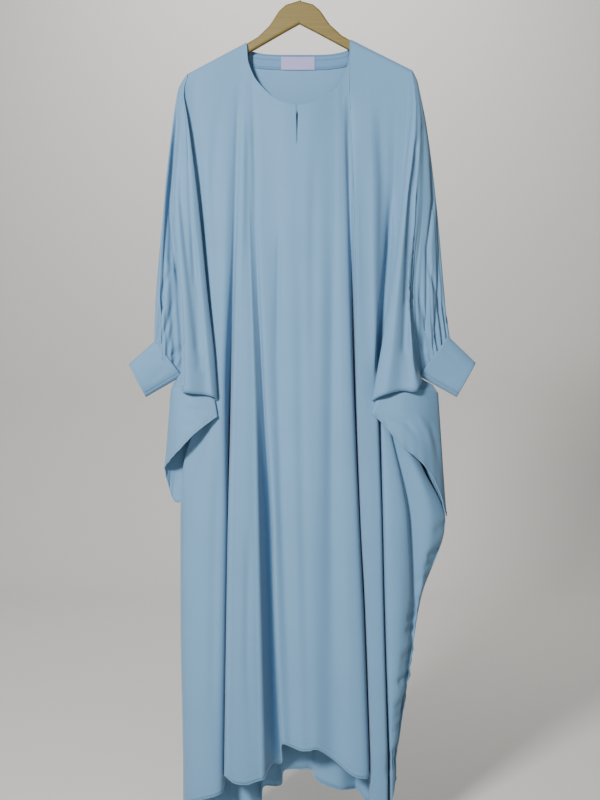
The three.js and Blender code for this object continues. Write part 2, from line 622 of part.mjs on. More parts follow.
function toSolid(geometry) {
  const bare = geometry.clone();
  bare.deleteAttribute('normal');
  bare.deleteAttribute('uv');
  const merged = mergeVertices(bare, 1e-4);
  return new wasm.Manifold(new wasm.Mesh({
    numProp: 3,
    vertProperties: new Float32Array(merged.getAttribute('position').array),
    triVerts: new Uint32Array(merged.getIndex().array),
  }));
}

function fromSolid(solid) {
  const mesh = solid.getMesh();
  const geometry = new THREE.BufferGeometry();
  geometry.setAttribute('position', new THREE.BufferAttribute(mesh.vertProperties, 3));
  geometry.setIndex(new THREE.BufferAttribute(mesh.triVerts, 1));
  return geometry;
}

// The keyhole slit, a narrow wedge cut through the front below the neck
function slitWedge() {
  const half = SLIT.width / 2;
  const wedge = new THREE.Shape();
  wedge.moveTo(SLIT.x - half, -SLIT.top);
  wedge.lineTo(SLIT.x + half, -SLIT.top);
  wedge.lineTo(SLIT.x + half / 3, -SLIT.bottom);
  wedge.lineTo(SLIT.x - half / 3, -SLIT.bottom);
  wedge.closePath();
  const geometry = new THREE.ExtrudeGeometry(wedge, { depth: SLIT.reach, bevelEnabled: false });
  geometry.rotateX(Math.PI / 2);
  return geometry;
}

// Hanger

function hangerBody() {
  const { apex, armDepth, armStart, underStart, underArch, tip, tipCut, thickness, edge } = WOOD;
  const armTop = (x) => -(NECK_DOWN + SHOULDER_SLOPE * (x - NECK_ACROSS) + WOOD.below);
  const side = WOOD.topArch.map(([x, below]) => [x, -apex - below]);
  side.push([armStart, armTop(armStart)]);
  side.push([tip - tipCut, armTop(tip - tipCut)]);
  side.push([tip, armTop(tip) - WOOD.tipDrop]);
  side.push([tip, armTop(tip) - WOOD.tipDepth]);
  side.push([tip - tipCut, armTop(tip - tipCut) - WOOD.tipFoot]);
  side.push([underStart, armTop(underStart) - armDepth]);
  side.push([underArch[0], -apex - underArch[1]]);
  const outline = new THREE.Shape();
  outline.moveTo(0, -apex);
  side.forEach(([x, z]) => outline.lineTo(x, z));
  outline.lineTo(0, -apex - WOOD.underApex);
  side.slice().reverse().forEach(([x, z]) => outline.lineTo(-x, z));
  outline.closePath();
  const geometry = new THREE.ExtrudeGeometry(outline, {
    depth: thickness - 2 * edge,
    bevelThickness: edge,
    bevelSize: edge,
    bevelOffset: -edge,
    bevelSegments: 2,
  });
  geometry.rotateX(Math.PI / 2);
  geometry.translate(0, thickness / 2 - edge, NECK_DOWN);
  geometry.rotateY(-LEAN);
  geometry.translate(0, 0, -NECK_DOWN);
  const hole = new THREE.CylinderGeometry(WIRE.hole, WIRE.hole, WIRE.holeReach, WIRE.holeSides);
  hole.rotateX(Math.PI / 2);
  hole.translate(0, 0, WIRE.holeReach / 2 - WIRE.holeFloor);
  return fromSolid(toSolid(geometry).subtract(toSolid(hole)));
}

function hangerHook() {
  const { radius, hookRadius, stemTop, stemFoot, sides, steps } = WIRE;
  const centre = radius - hookRadius;
  const points = [[0, -stemFoot], [0, -(stemFoot + stemTop) / 2], [0, -stemTop]];
  const [from, to] = WIRE.hookTurn;
  for (let degrees = from; degrees <= to; degrees += WIRE.hookStep) {
    const angle = THREE.MathUtils.degToRad(degrees);
    points.push([hookRadius * Math.cos(angle), centre + hookRadius * Math.sin(angle)]);
  }
  const path = new THREE.CatmullRomCurve3(points.map(([x, z]) => new THREE.Vector3(x, 0, z)));
  const ring = new THREE.Shape();
  ring.absarc(0, 0, radius, 0, 2 * Math.PI);
  return new THREE.ExtrudeGeometry(ring, { extrudePath: path, steps, curveSegments: sides / 2 });
}

// The whole garment on its hanger

const materials = {
  crepe: new THREE.MeshStandardMaterial({ color: COLOURS.crepe, roughness: 0.75, metalness: 0 }),
  facing: new THREE.MeshStandardMaterial({ color: COLOURS.facing, roughness: 0.75, metalness: 0 }),
  label: new THREE.MeshStandardMaterial({ color: COLOURS.label, roughness: 0.6, metalness: 0 }),
  wood: new THREE.MeshStandardMaterial({ color: COLOURS.wood, roughness: 0.45, metalness: 0 }),
  steel: new THREE.MeshStandardMaterial({ color: COLOURS.steel, roughness: 0.3, metalness: 1 }),
};

const abaya = new THREE.Group();

function addPiece(name, geometry, material) {
  const mesh = new THREE.Mesh(geometry, material.clone());
  mesh.name = name;
  abaya.add(mesh);
  return mesh;
}

const pieces = {};
pieces.front = { grid: panelGrid(FRONT_FOLDS, 'front') };
pieces.back = { grid: panelGrid(BACK_FOLDS, 'back') };
pieces.leftSleeve = { grid: sleeveGrid(LEFT_SLEEVE, 'left') };
pieces.rightSleeve = { grid: sleeveGrid(RIGHT_SLEEVE, 'right') };
pieces.leftWing = { grid: wingGrid(LEFT_WING, 'left') };
pieces.rightWing = { grid: wingGrid(RIGHT_WING, 'right') };
Object.values(pieces).forEach((piece) => {
  piece.normals = gridNormals(piece.grid);
});
matchSeam(pieces.front, 'start', pieces.leftSleeve, 'start');
matchSeam(pieces.front, 'finish', pieces.rightSleeve, 'start');
matchSeam(pieces.back, 'start', pieces.leftSleeve, 'finish');
matchSeam(pieces.back, 'finish', pieces.rightSleeve, 'finish');
matchSeam(pieces.back, 'start', pieces.leftWing, 'finish');
matchSeam(pieces.back, 'finish', pieces.rightWing, 'finish');
matchSeam(pieces.front, 'start', pieces.back, 'start');
matchSeam(pieces.front, 'finish', pieces.back, 'finish');

function pieceWall(piece, edges) {
  return clothWall(trimmed(piece.grid, edges), CREPE, piece.normals);
}

function sleeveWall(piece) {
  const cut = trimmed(piece.grid, ['finish', 'foot']);
  return clothWall(trimmed(cut, ['start'], TUCK_GAP), CREPE, piece.normals);
}

function cuffWall(corners) {
  return clothWall(trimmed(cuffGrid(corners), ['top'], CUFF_GAP), CUFF_CLOTH);
}

const frontWall = pieceWall(pieces.front, ['top', 'start', 'finish']);
addPiece('front_panel', fromSolid(toSolid(frontWall).subtract(toSolid(slitWedge()))), materials.crepe);
addPiece('back_panel', pieceWall(pieces.back, ['top', 'start', 'finish']), materials.crepe);
addPiece('left_sleeve', sleeveWall(pieces.leftSleeve), materials.crepe);
addPiece('right_sleeve', sleeveWall(pieces.rightSleeve), materials.crepe);
addPiece('left_wing', pieceWall(pieces.leftWing, ['finish']), materials.crepe);
addPiece('right_wing', pieceWall(pieces.rightWing, ['finish']), materials.crepe);
addPiece('left_cuff', cuffWall(LEFT_CUFF), materials.crepe);
addPiece('right_cuff', cuffWall(RIGHT_CUFF), materials.crepe);

// The facing lies inside the back neck, and the label lies on the facing
const inward = -1;
const neckColumns = columnsBetween(pieces.back.grid, -FACING_ACROSS, FACING_ACROSS);
const facingOff = inward * (CREPE / 2 + LAY_GAP + FACING_CLOTH / 2);
const facingGrid = patch(pieces.back, FACING_ROWS, neckColumns, facingOff);
addPiece('neck_facing', clothWall(facingGrid, FACING_CLOTH), materials.facing);
const labelOff = facingOff + inward * (FACING_CLOTH / 2 + LAY_GAP + LABEL_CLOTH / 2);
const labelGrid = patch(pieces.back, LABEL_ROWS, columnsBetween(pieces.back.grid, ...LABEL_SPAN), labelOff);
addPiece('neck_label', clothWall(labelGrid, LABEL_CLOTH), materials.label);

addPiece('hanger_body', hangerBody(), materials.wood);
addPiece('hanger_hook', hangerHook(), materials.steel);

export default abaya;
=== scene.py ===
import math

import bpy
import numpy as np
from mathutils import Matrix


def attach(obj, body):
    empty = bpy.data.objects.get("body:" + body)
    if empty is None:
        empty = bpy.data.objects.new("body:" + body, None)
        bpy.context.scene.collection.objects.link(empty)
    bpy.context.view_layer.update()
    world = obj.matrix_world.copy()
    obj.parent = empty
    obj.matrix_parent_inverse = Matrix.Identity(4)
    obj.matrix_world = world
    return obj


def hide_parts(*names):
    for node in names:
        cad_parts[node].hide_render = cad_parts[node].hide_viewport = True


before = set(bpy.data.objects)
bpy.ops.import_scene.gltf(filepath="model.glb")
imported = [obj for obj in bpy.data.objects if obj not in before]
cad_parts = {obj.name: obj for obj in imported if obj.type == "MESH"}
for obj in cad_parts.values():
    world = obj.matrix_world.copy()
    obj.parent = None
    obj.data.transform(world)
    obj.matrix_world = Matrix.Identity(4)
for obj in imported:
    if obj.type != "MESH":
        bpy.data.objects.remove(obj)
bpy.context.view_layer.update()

# Front panel
# One layer of light polyester crepe, hung from the shoulders over the hanger's arms.
# Its long soft columns are held by the weight of the cloth, and its side edges tuck under the sleeves.
# Tables are in millimetres and are turned into metres when a mesh is made.

FOLD_LEVELS = (250, 450, 800, 1050, 1200, 1500)
# Each fold: across at every level, out from the middle plane at every level, and its hem
FRONT_FOLDS = (
    ((-203, -190, -176, -216, -217, -213), (11, 13, 15, 20, 22, 24), 1575),
    ((-186, -170, -158, -184, -186, -184), (14, 24, 27, 36, 38, 42), 1564),
    ((-124, -127, -143, -141, -143, -147), (14.5, 23, 27, 36, 39, 42), 1552),
    ((-117, -121, -132.5, -136, -138, -142), (14.2, 21, -1, -8, -9, -9), 1545),
    ((-111, -115, -124.5, -131.5, -134, -138), (14, 24, 34, 42, 44, 48), 1518),
    ((-108, -110, -115, -118, -119, -122), (14.3, 24.6, 36, 45, 47, 51), 1530),
    ((-105, -103, -99, -99, -99, -98), (14.6, 25, 37, 46, 48, 52), 1532),
    ((-99, -95, -84, -78, -75, -68), (15, 24, 36, 43, 45, 50), 1523),
    ((-95, -91, -76, -65, -60, -50), (15, 23, 26, 8, 4, 8), 1510),
    ((-90, -85, -69.5, -55, -51, -36), (14.6, 22.5, 18, 0, -2, -4), 1512),
    ((-84, -79, -64.5, -49.5, -45.5, -30), (15.5, 24, 33, 41, 43, 46), 1459),
    ((-52, -49, -41, -33, -27, -14), (20, 25, 33, 39, 41, 45), 1465),
    ((-25, -24, -16, -8, -4, 4), (24, 30, 38, 44, 47, 52), 1470),
    ((-7.3, -6.7, -1.1, 4.6, 7.8, 14.6), (24.4, 30.4, 38.4, 44.4, 47.4, 52.4), 1470),
    ((-3.7, -3.2, 2, 7.1, 10.2, 16.8), (24.5, 30.5, 38.5, 44.5, 47.5, 52.5), 1470),
    ((20, 20, 22, 24, 26, 31), (25, 31, 39, 45, 48, 53), 1467),
    ((64, 63, 59, 58, 60, 64), (18, 26, 34, 39, 41, 43), 1490),
    ((73, 75, 80, 86, 92, 100), (17, 27, 38, 46, 49, 52), 1517),
    ((80, 86, 97, 107, 114, 125), (15.8, 25, 34, 42, 44, 47), 1522),
    ((86, 93.5, 102.5, 111.5, 119.5, 130), (15.3, 17, 0, -8, -9, -9), 1518),
    ((93, 100, 107.5, 115.5, 123.5, 134), (15, 25, 33, 41, 43, 47), 1588),
    ((126, 134, 136, 142, 147, 153), (14, 25.5, 32, 41, 44, 47), 1594),
    ((130, 140, 144, 150.5, 153.5, 161.5), (14, 25, 29, 38, 41, 44), 1594),
    ((180, 173, 149, 154.5, 157.5, 165), (12, 12, 10, -6, -6, -4), 1588),
    ((187, 178, 153, 158.5, 161.5, 169), (12, 12.3, 18, 36, 38, 34), 1572),
    ((195, 183, 158, 180, 184, 173), (12, 12.5, 18, 40, 42, 34), 1562),
    ((201, 187, 161, 199, 205, 176), (12, 12.8, 17, 33, 30, 28), 1550),
    ((203, 189, 163, 206.5, 212, 178.5), (12, 13, 16, 15, 14, 13), 1545),
    ((205, 191, 165, 215, 217, 180), (12.3, 13.5, 18, 17, 13.5, 12), 1540),
    ((207, 193, 167, 246, 225, 181.5), (12.5, 14, 21, 23, 15, 11), 1536),
)
EDGE_LEVELS = (216, 232, 300, 450, 625, 740, 825, 950, 1050, 1200, 1500)
EDGES = {
    ("front", -1): ((213, 217, 222, 207, 196, 192, 190, 221, 227, 227, 222),
                    (11.2, 13, 17, 20, 21, 22, 22, 7, 0, 0, 0), 1580),
    ("front", 1): ((213.5, 215, 219, 203, 189, 179, 174, 232, 276, 229, 182),
                   (11.2, 12, 15, 15, 17, 20, 22, 10, 0, 0, 0), 1535),
    ("back", -1): ((213, 216, 209, 202, 196, 193, 192, 215, 227, 227, 222),
                   (11.2, 12.5, 17, 22, 25, 26, 26, 12, 0, 0, 0), 1580),
    ("back", 1): ((213, 214, 209, 202, 196, 193, 192, 240, 276, 229, 182),
                  (11.2, 12.5, 17, 22, 25, 26, 26, 12, 0, 0, 0), 1535),
}
NECK_ACROSS, NECK_DOWN, NECK_CENTRE, NECK_HALF = 103, 142, -3, 100
# How far the neckline lies below the shoulder fold at its ends, and from there to its middle
NECK_END_DROP, NECK_DROPS = 3, {"front": 121, "back": 17}
# Where the two folds beside the keyhole slit start
SLIT_COLUMNS = (-7.3, -3.7)
SHOULDER_SLOPE, LEAN, ARM_ROLL, SLEEVE_HEAD = 0.515, 0.016, 11, 212
ARM_STRIP, STRIP_TURNS = 0.024, (0.2, 0.45, 0.7, 0.97)
TOP_ROWS, UPPER_CROWDING, STRIP_SPLITS = 6, 1.6, 3
UPPER_END, SIDE_START, FREE_SIDE_END = 815, 825, 1000
# The front's edge turns forward into the sleeve below this height
TUCK_START, GUIDE_LENGTH, FREE_GUIDE_LENGTH = 230, 12, 9
# The front's valleys may reach this far past the middle plane, and this far out to each side
VALLEY_REACH, VALLEY_HALF = 10, 172
NECK_EDGE = 15
SHELL = 0.9
MM = 0.001


def mix(a, b, t):
    return a + (b - a) * t


def smooth(t):
    s = min(max(t, 0), 1)
    return s * s * (3 - 2 * s)


def along(levels, values, at):
    """A smooth curve through values measured at rising levels, held level past both ends."""
    last = len(levels) - 1
    if at <= levels[0]:
        return values[0]
    if at >= levels[last]:
        return values[last]
    i = 0
    while at > levels[i + 1]:
        i += 1

    def slope(k):
        return (values[k + 1] - values[k]) / (levels[k + 1] - levels[k])

    def shared(a, b):
        return 0 if a * b <= 0 else 2 * a * b / (a + b)

    span = levels[i + 1] - levels[i]
    leaving = (slope(0) if i == 0 else shared(slope(i - 1), slope(i))) * span
    arriving = (slope(i) if i + 1 == last else shared(slope(i), slope(i + 1))) * span
    t = (at - levels[i]) / span
    risen = mix(values[i], values[i + 1], t * t * (3 - 2 * t))
    return risen + leaving * t * (1 - t) ** 2 - arriving * t * t * (1 - t)


def place(x, out, down):
    return np.array((x, -out, -down), dtype=float)


def across_folds(points, before, after, splits):
    """One row of cloth: a smooth curve across its folds, with a guide point past each end."""
    chain = [before, *points, after]
    row = [points[0]]
    for i in range(len(points) - 1):
        p0, p1, p2, p3 = chain[i:i + 4]
        d0, d1, d2 = (math.sqrt(np.linalg.norm(b - a)) for a, b in ((p0, p1), (p1, p2), (p2, p3)))
        d1 = d1 if d1 > 1e-4 else 1
        d0 = d0 if d0 > 1e-4 else d1
        d2 = d2 if d2 > 1e-4 else d1
        leaving = ((p1 - p0) / d0 - (p2 - p0) / (d0 + d1) + (p2 - p1) / d1) * d1
        arriving = ((p2 - p1) / d1 - (p3 - p1) / (d1 + d2) + (p3 - p2) / d2) * d1
        for k in range(1, splits(i) + 1):
            t = k / splits(i)
            rise = t * t * (3 - 2 * t)
            row.append(mix(p1, p2, rise) + leaving * t * (1 - t) ** 2 - arriving * t * t * (1 - t))
    return row


def shoulder_down(x):
    return NECK_DOWN + SHOULDER_SLOPE * (abs(x) - NECK_ACROSS) - LEAN * x


def neck_down(x, side):
    part = abs(x - NECK_CENTRE) / NECK_HALF
    if part >= 1:
        return None
    power = 2 if side == "front" else 4
    return NECK_DOWN + NECK_END_DROP + NECK_DROPS[side] * math.sqrt(1 - part ** power)


def arm_turn(x):
    return min(max((1 - abs(x - NECK_CENTRE) / NECK_HALF) / ARM_STRIP, 0), 1)


def on_arm(x, degrees):
    """A point where the cloth rolls over the hanger's arm, by its angle from the top."""
    angle = math.radians(degrees)
    return place(x, ARM_ROLL * math.sin(angle), shoulder_down(x) + ARM_ROLL * (1 - math.cos(angle)))


def edge_at(side, hand, down):
    """A panel's side edge at a height below the hanger's arm."""
    across, out, _ = EDGES[side, hand]
    facing = 1 if side == "front" else -1
    levels = (shoulder_down(hand * SLEEVE_HEAD) + ARM_ROLL, *EDGE_LEVELS)
    return place(hand * along(levels, (SLEEVE_HEAD, *across), down),
                 facing * along(levels, (ARM_ROLL, *out), down), down)


def tuck_guide(side, hand, point, top=False):
    """Carries a panel's curve round its edge into the next piece."""
    facing = 1 if side == "front" else -1
    free = smooth((-point[2] - SIDE_START) / (FREE_SIDE_END - SIDE_START))
    if facing > 0 and -point[2] > TUCK_START:
        tucked = np.array((hand * 2, -5, 0), dtype=float)
    else:
        tucked = np.array((hand * GUIDE_LENGTH, 0, -GUIDE_LENGTH * SHOULDER_SLOPE if top else 0))
    return point + mix(tucked, np.array((0, facing * FREE_GUIDE_LENGTH, 0), dtype=float), free)


def panel_grid(folds, side, splits, upper_rows, lower_rows):
    """Points of a panel from its neck and shoulders to its hem, in rows from left to right."""
    facing = 1 if side == "front" else -1
    strips = []
    for fold, following in zip(folds, (*folds[1:], None)):
        strips.append((*fold, False))
        if following is None:
            break
        leaves = neck_down(fold[0][0], side) is None
        if leaves == (neck_down(following[0][0], side) is None):
            continue
        for turn in STRIP_TURNS if leaves else STRIP_TURNS[::-1]:
            rim = NECK_CENTRE + math.copysign(NECK_HALF * (1 - turn * ARM_STRIP), fold[0][0])
            share = (rim - fold[0][0]) / (following[0][0] - fold[0][0])
            x, out = ([mix(a, b, share) for a, b in zip(fold[k], following[k])] for k in (0, 1))
            strips.append((x, out, mix(fold[2], following[2], share), True))

    rows = [("top", k / TOP_ROWS) for k in range(TOP_ROWS + 1)]
    rows += [("upper", (k / upper_rows) ** UPPER_CROWDING) for k in range(1, upper_rows + 1)]
    rows += [("lower", k / lower_rows) for k in range(lower_rows + 1)]

    def row_down(zone, share, start, hem):
        return mix(start, UPPER_END, share) if zone == "upper" else mix(SIDE_START, hem, share)

    def fold_point(fold, zone, share):
        x, out, hem, _ = fold
        turn = arm_turn(x[0])
        neck = neck_down(x[0], side) if turn == 1 else None
        arm_foot = shoulder_down(x[0]) + ARM_ROLL
        if zone == "top" and neck is None:
            return on_arm(x[0], facing * 90 * mix(turn, 1, share))
        start = arm_foot if neck is None else neck + NECK_EDGE
        down = neck + NECK_EDGE * share if zone == "top" else row_down(zone, share, start, hem)
        settled = smooth((down - arm_foot) / (FOLD_LEVELS[0] - arm_foot))
        depth = mix(ARM_ROLL, along(FOLD_LEVELS, out, down), settled)
        return place(along(FOLD_LEVELS, x, down), facing * depth, down)

    def edge_point(hand, zone, share):
        if zone == "top":
            return on_arm(hand * SLEEVE_HEAD, facing * 90 * share)
        start = shoulder_down(hand * SLEEVE_HEAD) + ARM_ROLL
        return edge_at(side, hand, row_down(zone, share, start, EDGES[side, hand][2]))

    def split(i):
        before = i > 0 and strips[i - 1][3]
        after = i < len(strips) and strips[i][3]
        slit = 0 < i < len(strips) and strips[i - 1][0][0] == SLIT_COLUMNS[0]
        return 1 if before and after or slit else STRIP_SPLITS if before or after else splits

    grid = []
    for zone, share in rows:
        left, right = (edge_point(hand, zone, share) for hand in (-1, 1))
        points = [left, *(fold_point(fold, zone, share) for fold in strips), right]
        guides = (tuck_guide(side, hand, end, zone == "top") for hand, end in ((-1, left), (1, right)))
        grid.append(across_folds(points, *guides, split))
    grid = np.array(grid)
    if side == "front":
        reach = np.where(np.abs(grid[:, :, 0]) < VALLEY_HALF, VALLEY_REACH, 0)
        grid[:, :, 1] = np.minimum(grid[:, :, 1], reach)
    else:
        grid[:, :, 1] = np.maximum(grid[:, :, 1], 0)
    return grid


def normals_of(grid, outward):
    """Directions square to the cloth, turned to the side that faces out."""
    normals = np.cross(np.gradient(grid, axis=1), np.gradient(grid, axis=0))
    normals /= np.maximum(np.linalg.norm(normals, axis=2, keepdims=True), 1e-9)
    return normals * outward


CREASE_RISE, CREASE_FALL = 0.3, 0.5


def crease(grid, outward, line, depth, width, side=-1, fade=(0, 0)):
    """A soft trough (negative depth) or ridge along a line of (x, down) points seen from one side.

    fade is the part of the depth that is left at the line's start and at its end. It comes back to
    full depth over the first CREASE_RISE of the line, and leaves it over the last CREASE_FALL.
    """
    normals = normals_of(grid, outward)
    at = grid[:, :, (0, 2)] * (1, -1)
    best = np.full(at.shape[:2], np.inf)
    reached = np.zeros(at.shape[:2])
    lengths = [math.dist(a, b) for a, b in zip(line, line[1:])]
    passed = 0
    for (a, b), length in zip(zip(line, line[1:]), lengths):
        a, b = np.array(a, dtype=float), np.array(b, dtype=float)
        t = np.clip(((at - a) @ (b - a)) / length ** 2, 0, 1)
        far = np.linalg.norm(at - a - t[..., None] * (b - a), axis=2)
        nearer = far < best
        best = np.where(nearer, far, best)
        reached = np.where(nearer, (passed + t * length) / sum(lengths), reached)
        passed += length
    start = np.clip(reached / CREASE_RISE, 0, 1)
    end = np.clip((1 - reached) / CREASE_FALL, 0, 1)
    strength = mix(fade[0], 1, start * start * (3 - 2 * start)) * mix(fade[1], 1, end * end * (3 - 2 * end))
    facing = np.clip(normals[:, :, 1] * side * 2, 0, 1)
    lift = depth * strength * facing * np.exp(-(best / width) ** 2)
    return grid + normals * lift[..., None]


def linear(code):
    """An sRGB hex colour as linear values."""
    parts = (int(code[i:i + 2], 16) / 255 for i in (0, 2, 4))
    return (*(p / 12.92 if p <= 0.04045 else ((p + 0.055) / 1.055) ** 2.4 for p in parts), 1)


def add_node(tree, kind, settings=(), links=()):
    """Adds a node, sets its sockets or fields by name, and links (output, input) to it."""
    node = tree.nodes.new(kind)
    for name, value in dict(settings).items():
        if name in node.inputs:
            node.inputs[name].default_value = value
        else:
            setattr(node, name, value)
    for output, name in links:
        tree.links.new(output, node.inputs[name])
    return node


def new_material(name, values):
    material = bpy.data.materials.new(name)
    material.use_nodes = True
    shader = material.node_tree.nodes["Principled BSDF"]
    for socket, value in values.items():
        shader.inputs[socket].default_value = value
    return material, material.node_tree, shader


def crepe_material(name, code):
    """Matt polyester crepe: a dry, fine-grained face with a faint bloom of sheen at grazing angles."""
    material, tree, shader = new_material(name, {
        "Roughness": 0.72, "Sheen Weight": 0.25, "Sheen Roughness": 0.45, "IOR": 1.5,
        "Specular IOR Level": 0.3})
    where = add_node(tree, "ShaderNodeTexCoord").outputs["Object"]
    # The crepe's grain is about 0.4 mm; it is drawn at 1.2 mm so that it shows
    grain = add_node(tree, "ShaderNodeTexNoise", {"Scale": 820, "Detail": 3, "Roughness": 0.6},
                     [(where, "Vector")])
    # Slow uneven dyeing and handling marks, a hand's width across
    cloudy = add_node(tree, "ShaderNodeTexNoise", {"Scale": 9, "Detail": 3}, [(where, "Vector")])
    shades = add_node(tree, "ShaderNodeValToRGB", (), [(cloudy.outputs[0], "Fac")])
    shades.color_ramp.elements[0].position, shades.color_ramp.elements[1].position = 0.3, 0.7
    base = linear(code)
    shades.color_ramp.elements[0].color = (*(0.965 * c for c in base[:3]), 1)
    shades.color_ramp.elements[1].color = (*(1.02 * c for c in base[:3]), 1)
    tree.links.new(shades.outputs["Color"], shader.inputs["Base Color"])
    bump = add_node(tree, "ShaderNodeBump", {"Strength": 0.22, "Distance": 0.0005},
                    [(grain.outputs[0], "Height")])
    tree.links.new(bump.outputs["Normal"], shader.inputs["Normal"])
    return material


def new_object(name, points, faces, material):
    mesh = bpy.data.meshes.new(name)
    mesh.from_pydata((np.asarray(points) * MM).tolist(), [], faces)
    mesh.materials.append(material)
    mesh.polygons.foreach_set("use_smooth", [True] * len(mesh.polygons))
    piece = bpy.data.objects.new(name, mesh)
    bpy.context.collection.objects.link(piece)
    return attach(piece, "root")


def cloth_shell(name, grid, outward, thickness, material, holes=lambda centre: False):
    """A closed thin shell on a grid of points through the cloth's middle."""
    rows, columns = grid.shape[:2]
    normals = normals_of(grid, outward)
    faces = []
    count = rows * columns
    kept = {(j, i) for j in range(rows - 1) for i in range(columns - 1)
            if not holes(grid[j:j + 2, i:i + 2].mean(axis=(0, 1)))}

    def at(layer, j, i):
        return layer * count + j * columns + i

    for j, i in sorted(kept):
        corners = ((j, i), (j, i + 1), (j + 1, i + 1), (j + 1, i))
        beyond = ((j - 1, i), (j, i + 1), (j + 1, i), (j, i - 1))
        faces.append([at(0, *c) for c in corners])
        faces.append([at(1, *c) for c in corners[::-1]])
        for k in range(4):
            if beyond[k] not in kept:
                a, b = corners[k], corners[(k + 1) % 4]
                faces.append([at(0, *b), at(0, *a), at(1, *a), at(1, *b)])
    if outward < 0:
        faces = [face[::-1] for face in faces]
    half = normals * thickness / 2
    points = np.concatenate([(grid + half).reshape(-1, 3), (grid - half).reshape(-1, 3)])
    return new_object(name, points, faces, material)


front_grid = panel_grid(FRONT_FOLDS, "front", 8, 56, 104)
# The panel's smaller folds: line of (x, down), depth and width
for line, depth, width in (
    (((-160, 330), (-158, 600), (-146, 800)), -2.5, 9),
    (((-150, 850), (-160, 1150), (-163, 1560)), -3.5, 8),
    (((-134, 300), (-143, 620), (-150, 900)), 2, 7),
    (((-96, 1010), (-98, 1300), (-90, 1520)), -2.5, 7),
    (((1, 480), (4, 900), (16, 1470)), -2.2, 11),
    (((44, 300), (40, 700), (38, 1100), (46, 1480)), 1.8, 10),
    (((122, 300), (128, 640), (134, 1000)), -2.5, 7),
    (((-49, 441), (-41, 800), (-30, 1100), (-17, 1460)), -3, 8),
    (((63, 441), (60, 900), (60, 1391)), -3.5, 9),
    (((110, 290), (122, 500), (128, 790)), -3, 6),
    (((-116, 205), (-118, 289), (-122, 441), (-128, 610)), -2.5, 6),
    (((-106, 240), (-108, 441), (-112, 700)), 3, 6),
    (((-40, 470), (-41, 620), (-42, 760)), -4, 4),
    (((-87, 250), (-85, 360), (-80, 520)), -3, 6),
    (((93, 235), (94, 330), (98, 470)), -4.5, 5),
    (((148, 240), (156, 420), (152, 640)), -3.5, 7),
    (((-150, 240), (-166, 430), (-168, 560)), -3, 8),
    (((28, 300), (24, 560), (22, 900)), -2.2, 9),
):
    front_grid = crease(front_grid, -1, line, depth, width)
# The sewn right side puckers a little below the wing, at uneven steps
PUCKERS, PUCKER_START, PUCKER_STEP, PUCKER_LENGTH = 15, 1062, 31, 24
for k in range(PUCKERS):
    down = PUCKER_START + PUCKER_STEP * k + 9 * (k * 5 % 3)
    edge = edge_at("front", 1, down)[0]
    line = ((edge - PUCKER_LENGTH, down + 9), (edge - 1, down - 3 - 2 * (k % 3)))
    front_grid = crease(front_grid, -1, line, -3 - 0.8 * (k * 3 % 4), 8, fade=(0.2, 1))
# The shaded fold beside the right sleeve's flap
flap_line = ((173, 400), (169, 536), (163, 631), (152, 726), (136, 815), (132, 870))
front_grid = crease(front_grid, -1, flap_line, -12, 7)

# The keyhole slit is a gap between two columns of points, which narrows to a tenth at its foot
SLIT = {"x": -5.5, "top": 250, "bottom": 341, "half": 2.2, "narrows": 0.9, "faces": 0.3}
slit_left, slit_right = (int(np.argmin(np.abs(front_grid[0, :, 0] - x))) for x in SLIT_COLUMNS)
for row in front_grid:
    closed = smooth((-row[slit_left, 2] - SLIT["top"]) / (SLIT["bottom"] - SLIT["top"]))
    if closed < 1:
        half = SLIT["half"] * (1 - SLIT["narrows"] * closed)
        row[slit_left, 0], row[slit_right, 0] = SLIT["x"] - half, SLIT["x"] + half

crepe = crepe_material("dusty_blue_crepe", "628aaa")


def in_slit(centre):
    return -centre[2] < SLIT["bottom"] and abs(centre[0] - SLIT["x"]) < SLIT["faces"]


front = cloth_shell("front_panel_cloth", front_grid, -1, SHELL, crepe, in_slit)
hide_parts("front_panel")

# Back panel
# The same crepe, cut in one with the sleeves; from the front only its neck and its longer hem show.
# Its columns are listed one by one, uneven as on the front, with the neck edge finished by a facing.

BACK_FOLDS = (
    ((-185, -182, -178, -205, -206, -202), (15, 24, 30, 24, 24, 26), 1590),
    ((-150, -152, -155, -165, -166, -170), (13, 18, 18, 16, 15, 14), 1596),
    ((-118, -120, -124, -130, -132, -136), (14, 24, 30, 34, 36, 40), 1602),
    ((-90, -92, -96, -100, -100, -98), (12, 16, 17, 16, 15, 15), 1603),
    ((-68, -70, -74, -78, -78, -77), (12, 19, 25, 28, 30, 32), 1600),
    ((-62, -63, -66, -70, -70, -70), (12, 17, 20, 20, 20, 20), 1562),
    ((-44, -44, -44, -46, -46, -46), (12, 20, 27, 30, 32, 34), 1566),
    ((-34, -34, -34, -36, -36, -36), (12, 19, 24, 25, 26, 26), 1560),
    ((-26, -26, -26, -29, -30, -31), (12, 19, 24, 25, 26, 26), 1534),
    ((0, 0, 0, 0, 0, 0), (12, 20, 26, 28, 30, 31), 1533),
    ((24, 24, 26, 23, 23, 22), (12, 20, 27, 30, 32, 34), 1535),
    ((36, 36, 38, 34, 34, 33), (12, 18, 22, 23, 24, 24), 1552),
    ((62, 64, 70, 74, 76, 78), (12, 16, 16, 14, 14, 14), 1566),
    ((92, 96, 104, 110, 114, 108), (13, 22, 28, 32, 34, 34), 1572),
    ((122, 128, 138, 146, 150, 132), (12, 16, 17, 15, 14, 14), 1592),
    ((155, 158, 164, 178, 180, 152), (14, 23, 29, 32, 30, 26), 1600),
    ((178, 178, 178, 215, 203, 168), (13, 18, 22, 16, 14, 14), 1575),
    ((192, 190, 184, 250, 219, 177), (14, 21, 25, 18, 12, 10), 1545),
)
back_grid = panel_grid(BACK_FOLDS, "back", 9, 44, 66)
